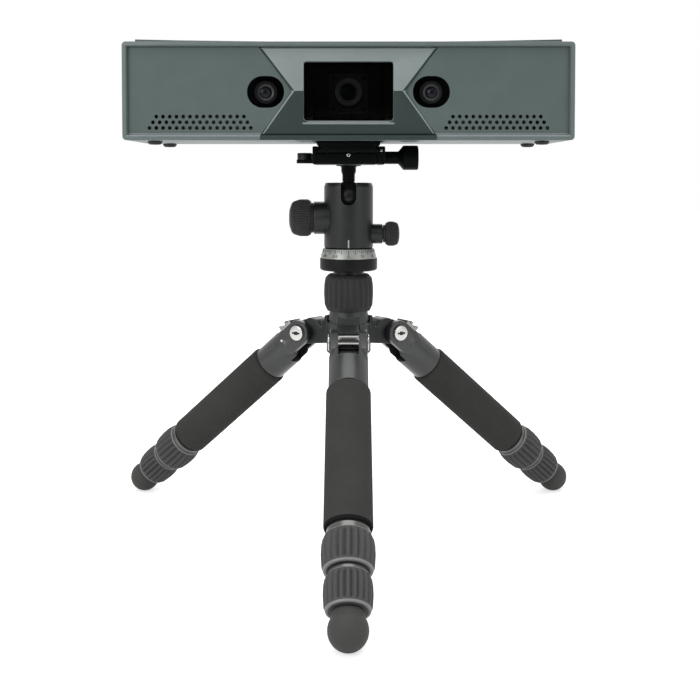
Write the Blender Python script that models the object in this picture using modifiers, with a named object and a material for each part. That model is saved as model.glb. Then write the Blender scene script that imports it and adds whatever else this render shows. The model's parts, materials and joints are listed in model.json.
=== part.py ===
"""Stereo 3-D scanner on a small tripod: scanner bar, ball head, centre column and three legs.

Run with Blender 4.5: blender --background --python part.py
Lengths are metres, +Z is up, the projector looks along -Y and the feet stand on Z = 0.
"""
import math

import bmesh
import bpy
from mathutils import Matrix, Vector

MM = 0.001
DEG = math.radians(1.0)

# Shared clearances and mesh settings
GAP = 0.3 * MM
OVERRUN = 2.0 * MM
WELD = 0.01 * MM
TURN_STEPS = 16
FINE_STEPS = 20
TUBE_STEPS = 14
SMALL_STEPS = 12
CORNER_STEPS = 2
CUP_STEPS = 7
QUARTER = 90.0 * DEG

# Leg geometry, measured down the leg from its pivot
LEG_ANGLE = 50.0 * DEG
LEG_AZIMUTHS = {"front": 0.0, "right": 120.0 * DEG, "left": -120.0 * DEG}
HIP_RADIUS = 32.2 * MM
FOOT_REACH = 181.8 * MM
FOOT_RADIUS = 10.2 * MM
FOOT_FLAT = 0.4 * MM
FOOT_NECK_RADIUS = 9.0 * MM
FOOT_WALL = 12.0 * MM
GRIP_TOP = 37.4 * MM
GRIP_RADIUS = 13.1 * MM
GRIP_ROUND = 1.2 * MM
GRIP_SPACING = 1.0 * MM
LOCK_1_HEIGHT = 24.3 * MM
LOCK_1_RADIUS = 14.15 * MM
LOCK_SPACING = 0.6 * MM
LOCK_2_HEIGHT = 20.4 * MM
LOCK_2_RADIUS = 12.7 * MM
LOCK_2_RISE = 9.3 * MM
LOCK_FLUTES = 10
FLUTE_DEPTH = 0.8 * MM
LOCK_ENGAGEMENT = 12.0 * MM
UPPER_TUBE_RADIUS = 10.0 * MM
MIDDLE_TUBE_RADIUS = 8.2 * MM
TIP_TUBE_RADIUS = 6.4 * MM
TUBE_WALL = 1.2 * MM
UPPER_BORE_TOP = 42.0 * MM
MIDDLE_TUBE_TOP = 45.0 * MM
TIP_TUBE_TOP = 60.0 * MM

# Leg head casting, its pivot bolt and its angle latch
CASTING_RADIUS = 11.8 * MM
CASTING_SHOULDER_RADIUS = 8.6 * MM
CASTING_SHOULDER_TOP = 6.0 * MM
CASTING_SHOULDER_BOTTOM = 12.5 * MM
EAR_RADIUS = 8.0 * MM
EAR_HALF_WIDTH = 11.3 * MM
EAR_RUN = 11.0 * MM
EAR_END = 23.0 * MM
EAR_END_HALF = 3.2 * MM
FORK_HALF_GAP = 6.5 * MM
FORK_DEPTH = 18.5 * MM
BOLT_RADIUS = 2.8 * MM
BOLT_HEAD_RADIUS = 4.9 * MM
BOLT_HEAD_HEIGHT = 1.1 * MM
LATCH_LOW = 8.4 * MM
LATCH_HIGH = 12.9 * MM
LATCH_VALLEY = 10.9 * MM
LATCH_START = 2.6 * MM
LATCH_END = 12.4 * MM
LATCH_RIB = 2.0 * MM
LATCH_RIB_SLOPE = 0.5 * MM

# Hub, measured from the height of the leg pivots
HUB_TOP_RISE = 15.3 * MM
HUB_BOTTOM_DROP = 12.0 * MM
HUB_TOP_RADIUS = 12.2 * MM
HUB_BODY_RADIUS = 14.2 * MM
HUB_BODY_TOP_RISE = 3.0 * MM
HUB_CHAMFER = 1.6 * MM
HUB_COLLET_HEIGHT = 14.6 * MM
TONGUE_RADIUS = 7.7 * MM
TONGUE_TOP_RISE = 11.0 * MM
TONGUE_BOTTOM_DROP = 9.5 * MM
ARM_ROOT = 11.6 * MM
SHOULDER_HALF_WIDTH = 11.6 * MM
SHOULDER_REACH = 21.6 * MM
SHOULDER_TOP_RISE = 12.6 * MM
SHOULDER_BEVEL = 1.4 * MM

# Centre column and its twist lock
COLUMN_RADIUS = 9.7 * MM
COLUMN_STROKE = 50.0 * MM
COLUMN_CAP_RADIUS = 11.2 * MM
COLUMN_CAP_HEIGHT = 5.0 * MM
COLUMN_NECK_HEIGHT = 2.7 * MM
COLUMN_STUD_RADIUS = 4.0 * MM
COLUMN_STUD_HEIGHT = 5.5 * MM
COLUMN_LOCK_HEIGHT = 23.2 * MM
COLUMN_LOCK_RADIUS = 15.85 * MM
COLUMN_LOCK_FLUTES = 12

# Pan base and ball head housing
PAN_BASE_RADIUS = 18.3 * MM
PAN_BASE_HEIGHT = 7.7 * MM
PAN_BASE_ROUND = 2.0 * MM
SCALE_BOTTOM_RADIUS = 17.8 * MM
SCALE_TOP_RADIUS = 16.2 * MM
SCALE_HEIGHT = 6.1 * MM
SPIGOT_RADIUS = 11.0 * MM
SPIGOT_HEIGHT = 5.0 * MM
HOUSING_RADIUS = 15.6 * MM
HOUSING_HEIGHT = 41.6 * MM
RIM_BEVEL = 2.2 * MM
BALL_RADIUS = 10.5 * MM
BALL_RIM_DROP = 9.2 * MM
BALL_SWING = 37.0 * DEG
NOTCH_HALF_WIDTH = 5.0 * MM
STEM_RADIUS = 4.0 * MM
STEM_TOP_RADIUS = 8.0 * MM
STEM_TOP_LIP = 1.4 * MM
STEM_FLARE = 4.0 * MM
STEM_SINK = 1.6 * MM
BALL_KNOB_RISE = 19.2 * MM
BALL_KNOB_RADIUS = 11.8 * MM
BALL_KNOB_LENGTH = 15.5 * MM
BALL_KNOB_ROUND = 4.6 * MM
BALL_BOSS_RADIUS = 10.5 * MM
BALL_BOSS_REACH = 22.2 * MM
PAN_KNOB_RISE = 9.0 * MM
PAN_KNOB_RADIUS = 7.8 * MM
PAN_KNOB_LENGTH = 10.6 * MM
PAN_KNOB_ROUND = 2.6 * MM
PAN_BOSS_RADIUS = 6.4 * MM
PAN_BOSS_REACH = 21.7 * MM
KNOB_SHAFT_RADIUS = 3.0 * MM
KNOB_SHAFT_LENGTH = 5.0 * MM

# Quick-release clamp and plate
PLATFORM_RISE = 20.7 * MM
CLAMP_HEIGHT = 11.1 * MM
CLAMP_FLOOR = 7.0 * MM
CLAMP_LENGTH = 44.0 * MM
CLAMP_BEVEL = 0.8 * MM
CLAMP_LEFT = 22.3 * MM
JAW_FACE = 18.0 * MM
JAW_RIGHT = 22.7 * MM
PLATE_LENGTH = 50.0 * MM
PLATE_FLANGE_HALF = 19.5 * MM
PLATE_FLANGE_HEIGHT = 2.1 * MM
PLATE_REVEAL = 0.8 * MM
DOVETAIL_HALF = 19.0 * MM
DOVETAIL_NECK_HALF = 15.9 * MM
DOVETAIL_LIP = 0.6 * MM
PLATE_SCREW_RADIUS = 3.1 * MM
PLATE_SCREW_HEAD_RADIUS = 6.5 * MM
PLATE_SCREW_HEAD_HEIGHT = 1.8 * MM
SCREW_AXIS_RISE = 4.4 * MM
SCREW_RADIUS = 1.7 * MM
SCREW_LENGTH = 21.0 * MM
CLAMP_KNOB_SHAFT_RADIUS = 4.0 * MM
CLAMP_KNOB_SHAFT_LENGTH = 9.0 * MM
CLAMP_KNOB_CONE = 3.2 * MM
CLAMP_KNOB_RADIUS = 7.8 * MM
CLAMP_KNOB_LENGTH = 9.4 * MM
CLAMP_KNOB_CHAMFER = 0.8 * MM
LEVEL_CENTRE = 28.0 * MM
LEVEL_RADIUS = 4.7 * MM
LEVEL_PAD_RADIUS = 5.2 * MM
LEVEL_PAD_HEIGHT = 2.4 * MM
LEVEL_HEIGHT = 4.0 * MM
LEVEL_DOME = 0.8 * MM

# Scanner sleeve, front panels and bezel
BODY_WIDTH = 272.0 * MM
BODY_HEIGHT = 59.0 * MM
BODY_DEPTH = 76.0 * MM
BODY_CORNER = 2.2 * MM
SLEEVE_WALL = 3.0 * MM
SLEEVE_LIP = 0.5 * MM
SLEEVE_BEVEL_DEPTH = 2.6 * MM
SLEEVE_INNER_CORNER = 1.0 * MM
PANEL_THICKNESS = 2.4 * MM
BEZEL_BACK = 5.2 * MM
BEZEL_TOP_HALF = 54.0 * MM
BEZEL_WAIST_HALF = 33.8 * MM
BEZEL_BOTTOM_HALF = 53.0 * MM
BEZEL_BEVEL = 0.9 * MM
WINDOW_WIDTH = 54.0 * MM
WINDOW_HEIGHT = 34.9 * MM
WINDOW_CORNER = 1.6 * MM
WINDOW_SILL = 3.0 * MM
GLASS_MARGIN = 2.2 * MM
GLASS_THICKNESS = 1.6 * MM
CAMERA_SPACING = 100.0 * MM
CAMERA_DROP = 0.4 * MM
CAMERA_OPENING_WIDTH = 22.5 * MM
CAMERA_OPENING_HEIGHT = 19.2 * MM
OPENING_STEPS = 4
VENT_RADIUS = 1.2 * MM
VENT_PITCH = 4.07 * MM
VENT_ROW_PITCH = 3.4 * MM
VENT_ROWS = 3
VENT_START = 59.0 * MM
VENT_END = 15.0 * MM
VENT_RISE = 7.4 * MM
VENT_SIDES = 5
COVER_END = 7.0 * MM
COVER_SETBACK = 5.0 * MM
COVER_POCKET = 1.0 * MM
COVER_END_RISE = 1.9 * MM
COVER_MIDDLE_RISE = 0.3 * MM
COVER_CURVE_POINTS = 10
FOOT_PAD_RADIUS = 4.5 * MM
FOOT_PAD_HEIGHT = 2.2 * MM
FOOT_PAD_END = 17.5 * MM
FOOT_PAD_INSET = 12.0 * MM

# Optics inside the scanner
RAIL_END = 10.0 * MM
RAIL_THICKNESS = 4.0 * MM
RAIL_FRONT_INSET = 12.0 * MM
RAIL_REAR_SPACE = 26.0 * MM
RAIL_FLANGE_THICKNESS = 3.0 * MM
RAIL_FLANGE_HEIGHT = 14.0 * MM
CAMERA_TOE = 8.0 * DEG
CAMERA_LENS_RADIUS = 7.0 * MM
CAMERA_LENS_LENGTH = 9.0 * MM
CAMERA_LENS_RIM = 1.3 * MM
CAMERA_LENS_DISH = 1.2 * MM
CAMERA_BODY = 27.0 * MM
CAMERA_BODY_DEPTH = 18.0 * MM
CAMERA_FOOT_WIDTH = 18.0 * MM
CAMERA_FOOT_DEPTH = 14.0 * MM
CAMERA_INSET = 3.4 * MM
PROJECTOR_LENS_RADIUS = 8.5 * MM
PROJECTOR_LENS_LENGTH = 7.0 * MM
PROJECTOR_WIDTH = 44.0 * MM
PROJECTOR_HEIGHT = 34.0 * MM
PROJECTOR_REAR_SPACE = 9.3 * MM
PROJECTOR_FOOT_WIDTH = 30.0 * MM
PROJECTOR_FOOT_DEPTH = 18.0 * MM
BOARD_END = 46.0 * MM
BOARD_HEAD_SPACE = 19.0 * MM
BOARD_THICKNESS = 1.6 * MM
HEAT_SINK_WIDTH = 36.0 * MM
HEAT_SINK_HEIGHT = 26.0 * MM
HEAT_SINK_BASE = 3.0 * MM
HEAT_SINK_FIN = 5.0 * MM
HEAT_SINK_FIN_WIDTH = 1.6 * MM
HEAT_SINK_FINS = 6

# Rear cover, fan and power button
REAR_THICKNESS = 2.6 * MM
REAR_INSET = 1.2 * MM
FAN_END = 66.0 * MM
GRILLE_RADIUS = 18.6 * MM
GRILLE_HUB_RADIUS = 7.0 * MM
GRILLE_SLOT = 2.6 * MM
GRILLE_PITCH = 5.0 * MM
GRILLE_ROWS = 7
SHROUD_RADIUS = 21.6 * MM
SHROUD_WALL = 1.5 * MM
SHROUD_DEPTH = 12.0 * MM
FAN_RADIUS = 17.6 * MM
FAN_HUB_RADIUS = 7.4 * MM
FAN_HUB_LENGTH = 9.0 * MM
FAN_HUB_CROWN = 2.0 * MM
FAN_POST_RADIUS = 2.4 * MM
FAN_POST_LENGTH = 7.4 * MM
FAN_BLADES = 7
FAN_BLADE_THICKNESS = 1.2 * MM
FAN_BLADE_CHORD = 8.0 * MM
FAN_BLADE_PITCH = 38.0 * DEG
DATA_PORT_END = 74.0 * MM
DATA_PORT_WIDTH = 12.4 * MM
DATA_PORT_HEIGHT = 10.9 * MM
POWER_PORT_END = 52.0 * MM
POWER_PORT_RADIUS = 4.2 * MM
PORT_DEPTH = 9.0 * MM
PORT_WALL = 1.4 * MM
BUTTON_END = 30.0 * MM
BUTTON_RADIUS = 4.5 * MM
BUTTON_PROUD = 1.4 * MM
BUTTON_FLANGE = 1.4 * MM
BUTTON_FLANGE_THICKNESS = 1.0 * MM
BUTTON_CHAMFER = 0.4 * MM

# Barrel shapes: (share of height from the bottom, share of radius, share of flute depth)
LEG_LOCK_SHARES = ((1.0, 0.84, 0.0), (0.8, 0.99, 1.0), (0.2, 1.0, 1.0), (0.0, 0.85, 0.0))
COLUMN_LOCK_SHARES = ((1.0, 0.76, 0.0), (0.82, 0.97, 1.0), (0.18, 1.0, 1.0), (0.0, 0.86, 0.0))

# Places worked out from the sizes above
LOCK_2_BOTTOM = FOOT_REACH - LOCK_2_RISE
LOCK_2_TOP = LOCK_2_BOTTOM - LOCK_2_HEIGHT
LOCK_1_BOTTOM = LOCK_2_TOP - LOCK_SPACING
LOCK_1_TOP = LOCK_1_BOTTOM - LOCK_1_HEIGHT
GRIP_BOTTOM = LOCK_1_TOP - GRIP_SPACING
BODY_HALF = BODY_WIDTH / 2
VENT_HOLES = 1 + int((BODY_HALF - VENT_END - VENT_START) / VENT_PITCH)
COVER_WIDTH = BODY_WIDTH - 2 * COVER_END
FOOT_PAD_X = BODY_HALF - FOOT_PAD_END
RAIL_LENGTH = BODY_WIDTH - 2 * RAIL_END
RAIL_DEPTH = BODY_DEPTH - RAIL_FRONT_INSET - RAIL_REAR_SPACE
PROJECTOR_INSET = BEZEL_BACK + GLASS_THICKNESS + PROJECTOR_LENS_LENGTH + 3 * GAP
PROJECTOR_DEPTH = RAIL_FRONT_INSET + RAIL_DEPTH - PROJECTOR_INSET - PROJECTOR_REAR_SPACE
BOARD_WIDTH = BODY_WIDTH - 2 * BOARD_END
BOARD_HEIGHT = BODY_HEIGHT - BOARD_HEAD_SPACE
FAN_X = FAN_END - BODY_HALF
DATA_PORT_X = BODY_HALF - DATA_PORT_END
POWER_PORT_X = BODY_HALF - POWER_PORT_END
BUTTON_X = BODY_HALF - BUTTON_END
FOOT_CENTRE_Z = FOOT_RADIUS - FOOT_FLAT
HIP_Z = FOOT_CENTRE_Z + FOOT_REACH * math.cos(LEG_ANGLE)
FOOT_CIRCLE = HIP_RADIUS + FOOT_REACH * math.sin(LEG_ANGLE)
COLUMN_Y = FOOT_CIRCLE / 4
HUB_TOP = HIP_Z + HUB_TOP_RISE
HUB_BOTTOM = HIP_Z - HUB_BOTTOM_DROP
COLUMN_LOCK_BOTTOM = HUB_TOP + 2 * GAP
COLUMN_LOCK_TOP = COLUMN_LOCK_BOTTOM + COLUMN_LOCK_HEIGHT
PAN_BASE_BOTTOM = COLUMN_LOCK_TOP + COLUMN_NECK_HEIGHT
SCALE_BOTTOM = PAN_BASE_BOTTOM + PAN_BASE_HEIGHT
SCALE_TOP = SCALE_BOTTOM + SCALE_HEIGHT
HOUSING_BOTTOM = SCALE_TOP + GAP
HOUSING_TOP = HOUSING_BOTTOM + HOUSING_HEIGHT
BALL_Z = HOUSING_TOP - BALL_RIM_DROP
CLAMP_BOTTOM = BALL_Z + PLATFORM_RISE
CLAMP_TOP = CLAMP_BOTTOM + CLAMP_HEIGHT
FLANGE_BOTTOM = CLAMP_TOP + PLATE_REVEAL
FLANGE_TOP = FLANGE_BOTTOM + PLATE_FLANGE_HEIGHT
BODY_BOTTOM = FLANGE_TOP + GAP
BODY_MIDDLE = BODY_BOTTOM + BODY_HEIGHT / 2
BODY_TOP = BODY_BOTTOM + BODY_HEIGHT
BODY_FRONT = -BODY_DEPTH / 2
BODY_REAR = BODY_DEPTH / 2
PANEL_FRONT = BODY_FRONT + SLEEVE_BEVEL_DEPTH
PANEL_BACK = PANEL_FRONT + PANEL_THICKNESS
BEZEL_BACK_Y = BODY_FRONT + BEZEL_BACK
FLOOR_Z = BODY_BOTTOM + SLEEVE_WALL
RAIL_BOTTOM = FLOOR_Z + GAP
RAIL_TOP = RAIL_BOTTOM + RAIL_THICKNESS
CAMERA_Z = BODY_MIDDLE - CAMERA_DROP
GLASS_FRONT = BEZEL_BACK_Y + GAP
GLASS_BACK = GLASS_FRONT + GLASS_THICKNESS
REAR_OUT = BODY_REAR - REAR_INSET
REAR_IN = REAR_OUT - REAR_THICKNESS

# Plane of a flat outline: across and up (drawn in X, Z), or along and up (drawn in Y, Z)
FACE_FRONT = Matrix.Rotation(QUARTER, 4, "X")
FACE_SIDE = Matrix(((0, 0, 1, 0), (1, 0, 0, 0), (0, 1, 0, 0), (0, 0, 0, 1)))
FACE_UP = Matrix.Identity(4)


def clear_scene():
    """Remove every object, so that the file can be run again."""
    for obj in list(bpy.data.objects):
        bpy.data.objects.remove(obj, do_unlink=True)


def new_collection(name):
    """Add a collection to the scene."""
    group = bpy.data.collections.new(name)
    bpy.context.scene.collection.children.link(group)
    return group


def new_material(name, colour, roughness, metallic=0.0, alpha=1.0):
    """Make a Principled material from a linear colour."""
    mat = bpy.data.materials.new(name)
    mat.use_nodes = True
    shader = mat.node_tree.nodes["Principled BSDF"]
    shader.inputs["Base Color"].default_value = (*colour, 1.0)
    shader.inputs["Roughness"].default_value = roughness
    shader.inputs["Metallic"].default_value = metallic
    shader.inputs["Alpha"].default_value = alpha
    mat.diffuse_color = (*colour, alpha)
    return mat


clear_scene()
PARTS = new_collection("stereo_scanner_on_tripod")
CUTTERS = new_collection("cutters")
FRAMES = new_collection("joint_frames")

SLATE = new_material("slate_paint", (0.105, 0.135, 0.130), 0.42)
SLATE_DARK = new_material("slate_dark", (0.055, 0.075, 0.072), 0.45)
BLACK_GLASS = new_material("black_glass", (0.004, 0.004, 0.005), 0.08, 0.0, 0.5)
BLACK_METAL = new_material("black_anodised", (0.012, 0.013, 0.013), 0.38, 0.6)
GREY_METAL = new_material("grey_anodised", (0.040, 0.042, 0.041), 0.36, 0.7)
BRIGHT_METAL = new_material("bright_steel", (0.52, 0.52, 0.50), 0.25, 1.0)
RAW_METAL = new_material("raw_aluminium", (0.42, 0.43, 0.44), 0.4, 1.0)
RUBBER = new_material("black_rubber", (0.030, 0.030, 0.030), 0.75)
FOAM = new_material("foam", (0.055, 0.055, 0.052), 0.9)
BOARD_GREEN = new_material("circuit_board", (0.01, 0.09, 0.04), 0.5)
LENS_BLACK = new_material("lens_black", (0.01, 0.01, 0.012), 0.25)
LEVEL_GLASS = new_material("level_glass", (0.35, 0.45, 0.10), 0.1)


def new_frame(name, location, rotation=(0.0, 0.0, 0.0), parent=None):
    """Add an empty that carries the pieces of one joint."""
    frame = bpy.data.objects.new(name, None)
    FRAMES.objects.link(frame)
    frame.parent = parent
    frame.location = location
    frame.rotation_euler = rotation
    return frame


def new_part(name, mesh, mat, parent, location=(0.0, 0.0, 0.0), rotation=(0.0, 0.0, 0.0)):
    """Add a sub-part with its material."""
    part = bpy.data.objects.new(name, mesh)
    PARTS.objects.link(part)
    mesh.materials.append(mat)
    part.parent = parent
    part.location = location
    part.rotation_euler = rotation
    return part


def new_cutter(name, mesh, parent, location=(0.0, 0.0, 0.0), rotation=(0.0, 0.0, 0.0)):
    """Add a hidden solid for a Boolean modifier."""
    cutter = bpy.data.objects.new(name, mesh)
    CUTTERS.objects.link(cutter)
    cutter.parent = parent
    cutter.location = location
    cutter.rotation_euler = rotation
    cutter.hide_render = True
    cutter.display_type = "WIRE"
    return cutter


def combine(part, tool, operation="DIFFERENCE"):
    """Cut a tool from a part, join it on, or keep what they share."""
    step = part.modifiers.new(tool.name, "BOOLEAN")
    step.object = tool
    step.operation = operation
    step.solver = "EXACT"


def bevel(part, width, segments=1, limit=40.0 * DEG):
    """Round or chamfer the sharp edges of a part."""
    step = part.modifiers.new("edges", "BEVEL")
    step.width = width
    step.segments = segments
    step.limit_method = "ANGLE"
    step.angle_limit = limit


def mesh_from_bmesh(name, bm):
    """Store a bmesh as a mesh."""
    mesh = bpy.data.meshes.new(name)
    bm.to_mesh(mesh)
    bm.free()
    return mesh


def box_mesh(name, size, centre=(0.0, 0.0, 0.0)):
    """A box with its scale applied."""
    bm = bmesh.new()
    bmesh.ops.create_cube(bm, size=1.0, matrix=Matrix.Translation(centre) @ Matrix.Diagonal((*size, 1.0)))
    return mesh_from_bmesh(name, bm)


def rod_mesh(name, radius, low, high, steps=SMALL_STEPS):
    """A cylinder about Z between two heights."""
    bm = bmesh.new()
    place = Matrix.Translation((0.0, 0.0, (low + high) / 2))
    bmesh.ops.create_cone(
        bm, cap_ends=True, segments=steps, radius1=radius, radius2=radius, depth=high - low, matrix=place
    )
    return mesh_from_bmesh(name, bm)


def ball_mesh(name, radius, across=16, rows=10):
    """A sphere about the origin."""
    bm = bmesh.new()
    bmesh.ops.create_uvsphere(bm, u_segments=across, v_segments=rows, radius=radius)
    return mesh_from_bmesh(name, bm)


def profile_mesh(name, points, closed):
    """Edges through (radius, height) points at +X, for the Screw modifier."""
    mesh = bpy.data.meshes.new(name)
    count = len(points)
    edges = [(i, i + 1) for i in range(count - 1)]
    if closed:
        edges.append((count - 1, 0))
    mesh.from_pydata([(radius, 0.0, height) for radius, height in points], edges, [])
    return mesh


def turn(part, steps=TURN_STEPS):
    """Spin a profile into a solid of revolution."""
    step = part.modifiers.new("turning", "SCREW")
    step.axis = "Z"
    step.steps = steps
    step.render_steps = steps
    step.use_merge_vertices = True
    step.merge_threshold = WELD
    step.use_smooth_shade = True
    return part


def turned_part(name, points, mat, parent, location=(0.0, 0.0, 0.0), rotation=(0.0, 0.0, 0.0),
                steps=TURN_STEPS, closed=False):
    """A turned sub-part; its profile runs down the outer side."""
    part = new_part(name, profile_mesh(name, points, closed), mat, parent, location, rotation)
    return turn(part, steps)


def turned_cutter(name, points, parent, location=(0.0, 0.0, 0.0), rotation=(0.0, 0.0, 0.0), steps=TURN_STEPS):
    """A turned cutter; its profile runs down the outer side."""
    cutter = new_cutter(name, profile_mesh(name, points, False), parent, location, rotation)
    return turn(cutter, steps)


def arc(radius, start, end, steps, centre=(0.0, 0.0)):
    """Points along a circular arc, both ends included."""
    points = []
    for i in range(steps + 1):
        angle = start + (end - start) * i / steps
        points.append((centre[0] + radius * math.cos(angle), centre[1] + radius * math.sin(angle)))
    return points


def rounded_rectangle(width, height, radius, steps=CORNER_STEPS + 1, centre=(0.0, 0.0)):
    """Outline of a rectangle with round corners, or a stadium."""
    points = []
    for i, (across, up) in enumerate(((1, 1), (-1, 1), (-1, -1), (1, -1))):
        middle = (
            centre[0] + across * (width / 2 - radius),
            centre[1] + up * (height / 2 - radius),
        )
        points += arc(radius, i * QUARTER, (i + 1) * QUARTER, steps, middle)
    apart = [math.dist(points[i], points[i - 1]) > WELD for i in range(len(points))]
    return [point for point, keep in zip(points, apart) if keep]


def circle(radius, sides, centre=(0.0, 0.0)):
    """Outline of a circle, without the repeated last point."""
    return arc(radius, 0.0, 4 * QUARTER, sides, centre)[:-1]


def stand_up(bm, low, high, plane):
    """Turn a mesh drawn about Z = 0 into its plane, and place it between two coordinates."""
    normal = plane.to_3x3() @ Vector((0.0, 0.0, 1.0))
    along = (low + high) / 2 * (normal.x + normal.y + normal.z)
    bmesh.ops.transform(bm, matrix=Matrix.Translation(normal * along) @ plane, verts=bm.verts)


def prism_mesh(name, outlines, low, high, plane):
    """Give each flat outline its own thickness."""
    bm = bmesh.new()
    depth = high - low
    for outline in outlines:
        face = bm.faces.new([bm.verts.new((across, up, -depth / 2)) for across, up in outline])
        grown = bmesh.ops.extrude_face_region(bm, geom=[face], use_keep_orig=True)["geom"]
        moved = [item for item in grown if isinstance(item, bmesh.types.BMVert)]
        bmesh.ops.translate(bm, vec=(0.0, 0.0, depth), verts=moved)
    bmesh.ops.recalc_face_normals(bm, faces=bm.faces)
    stand_up(bm, low, high, plane)
    return mesh_from_bmesh(name, bm)


def pierced_mesh(name, outlines, low, high, plane):
    """A flat plate: the first outline is its edge and the others are holes through it."""
    curve = bpy.data.curves.new(name, "CURVE")
    curve.dimensions = "2D"
    curve.fill_mode = "BOTH"
    curve.extrude = (high - low) / 2
    for outline in outlines:
        spline = curve.splines.new("POLY")
        spline.points.add(len(outline) - 1)
        for point, (across, up) in zip(spline.points, outline):
            point.co = (across, up, 0.0, 1.0)
        spline.use_cyclic_u = True
    guide = bpy.data.objects.new(name, curve)
    CUTTERS.objects.link(guide)
    graph = bpy.context.evaluated_depsgraph_get()
    mesh = bpy.data.meshes.new_from_object(guide.evaluated_get(graph))
    bpy.data.objects.remove(guide, do_unlink=True)
    bm = bmesh.new()
    bm.from_mesh(mesh)
    bmesh.ops.remove_doubles(bm, verts=bm.verts, dist=WELD)
    bmesh.ops.recalc_face_normals(bm, faces=bm.faces)
    stand_up(bm, low, high, plane)
    bm.to_mesh(mesh)
    bm.free()
    return mesh


def fluted_mesh(name, rows, flutes):
    """Close a ring from rows of (radius, height, flute depth), flutes cut at every other point."""
    bm = bmesh.new()
    count = 2 * flutes
    loops = []
    for radius, height, depth in rows:
        loop = []
        for i in range(count):
            angle = 4 * QUARTER * i / count
            reach = radius - depth * (i % 2)
            loop.append(bm.verts.new((reach * math.cos(angle), reach * math.sin(angle), height)))
        loops.append(loop)
    for row, loop in enumerate(loops):
        above = loops[row - 1]
        for i in range(count):
            bm.faces.new((above[i - 1], loop[i - 1], loop[i], above[i]))
    return mesh_from_bmesh(name, bm)


def barrel_rows(shares, top, bottom, radius):
    """Scale a table of barrel shares to one collar."""
    height = top - bottom
    return [(radius * wide, bottom + height * up, FLUTE_DEPTH * deep) for up, wide, deep in shares]


def build_sleeve(frame):
    """The extruded sleeve, with a bevel inside its front edge and a pocket for the top cover."""
    centre = (0.0, BODY_MIDDLE)
    outer = rounded_rectangle(BODY_WIDTH, BODY_HEIGHT, BODY_CORNER, centre=centre)
    inner_width = BODY_WIDTH - 2 * SLEEVE_WALL
    inner_height = BODY_HEIGHT - 2 * SLEEVE_WALL
    inner = rounded_rectangle(inner_width, inner_height, SLEEVE_INNER_CORNER, centre=centre)
    mesh = pierced_mesh("housing", [outer, inner], BODY_FRONT, BODY_REAR, FACE_FRONT)
    sleeve = new_part("housing", mesh, SLATE, frame)

    low = BODY_FRONT - OVERRUN
    high = BODY_FRONT + SLEEVE_BEVEL_DEPTH + OVERRUN
    slope = (SLEEVE_WALL - SLEEVE_LIP) / SLEEVE_BEVEL_DEPTH
    middle = (0.0, (low + high) / 2, BODY_MIDDLE)
    funnel = box_mesh("sleeve_bevel_cut", (BODY_WIDTH, high - low, BODY_HEIGHT), middle)
    for vert in funnel.vertices:
        inset = SLEEVE_LIP + (vert.co.y - BODY_FRONT) * slope
        vert.co.x -= math.copysign(inset, vert.co.x)
        vert.co.z -= math.copysign(inset, vert.co.z - BODY_MIDDLE)
    combine(sleeve, new_cutter("sleeve_bevel_cut", funnel, frame))

    pocket_low = BODY_TOP - COVER_POCKET
    size = (COVER_WIDTH + 2 * GAP, BODY_DEPTH - 2 * COVER_SETBACK + 2 * GAP, COVER_POCKET + OVERRUN)
    pocket = box_mesh("cover_pocket_cut", size, (0.0, 0.0, pocket_low + size[2] / 2))
    combine(sleeve, new_cutter("cover_pocket_cut", pocket, frame))

    hole = rod_mesh("tripod_screw_cut", PLATE_SCREW_RADIUS + GAP, BODY_BOTTOM - OVERRUN, FLOOR_Z + OVERRUN)
    combine(sleeve, new_cutter("tripod_screw_cut", hole, frame))


def build_top_cover(frame):
    """A cover let into the sleeve's top, dished between its two raised ends."""
    half = COVER_WIDTH / 2
    floor = BODY_TOP - COVER_POCKET + GAP
    outline = [(-half, floor), (half, floor)]
    for i in range(COVER_CURVE_POINTS + 1):
        share = 1.0 - 2.0 * i / COVER_CURVE_POINTS
        rise = COVER_MIDDLE_RISE + (COVER_END_RISE - COVER_MIDDLE_RISE) * share * share
        outline.append((half * share, BODY_TOP + rise))
    front = BODY_FRONT + COVER_SETBACK
    mesh = prism_mesh("top_cover", [outline], front, BODY_REAR - COVER_SETBACK, FACE_FRONT)
    new_part("top_cover", mesh, SLATE_DARK, frame)


def vent_outlines(side):
    """Staggered rows of holes, each row one hole longer than the one above it."""
    holes = []
    for row in range(VENT_ROWS):
        start = VENT_START + row * VENT_PITCH / 2
        height = BODY_BOTTOM + VENT_RISE + row * VENT_ROW_PITCH
        for i in range(VENT_HOLES - row):
            holes.append(circle(VENT_RADIUS, VENT_SIDES, (side * (start + i * VENT_PITCH), height)))
    return holes


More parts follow.
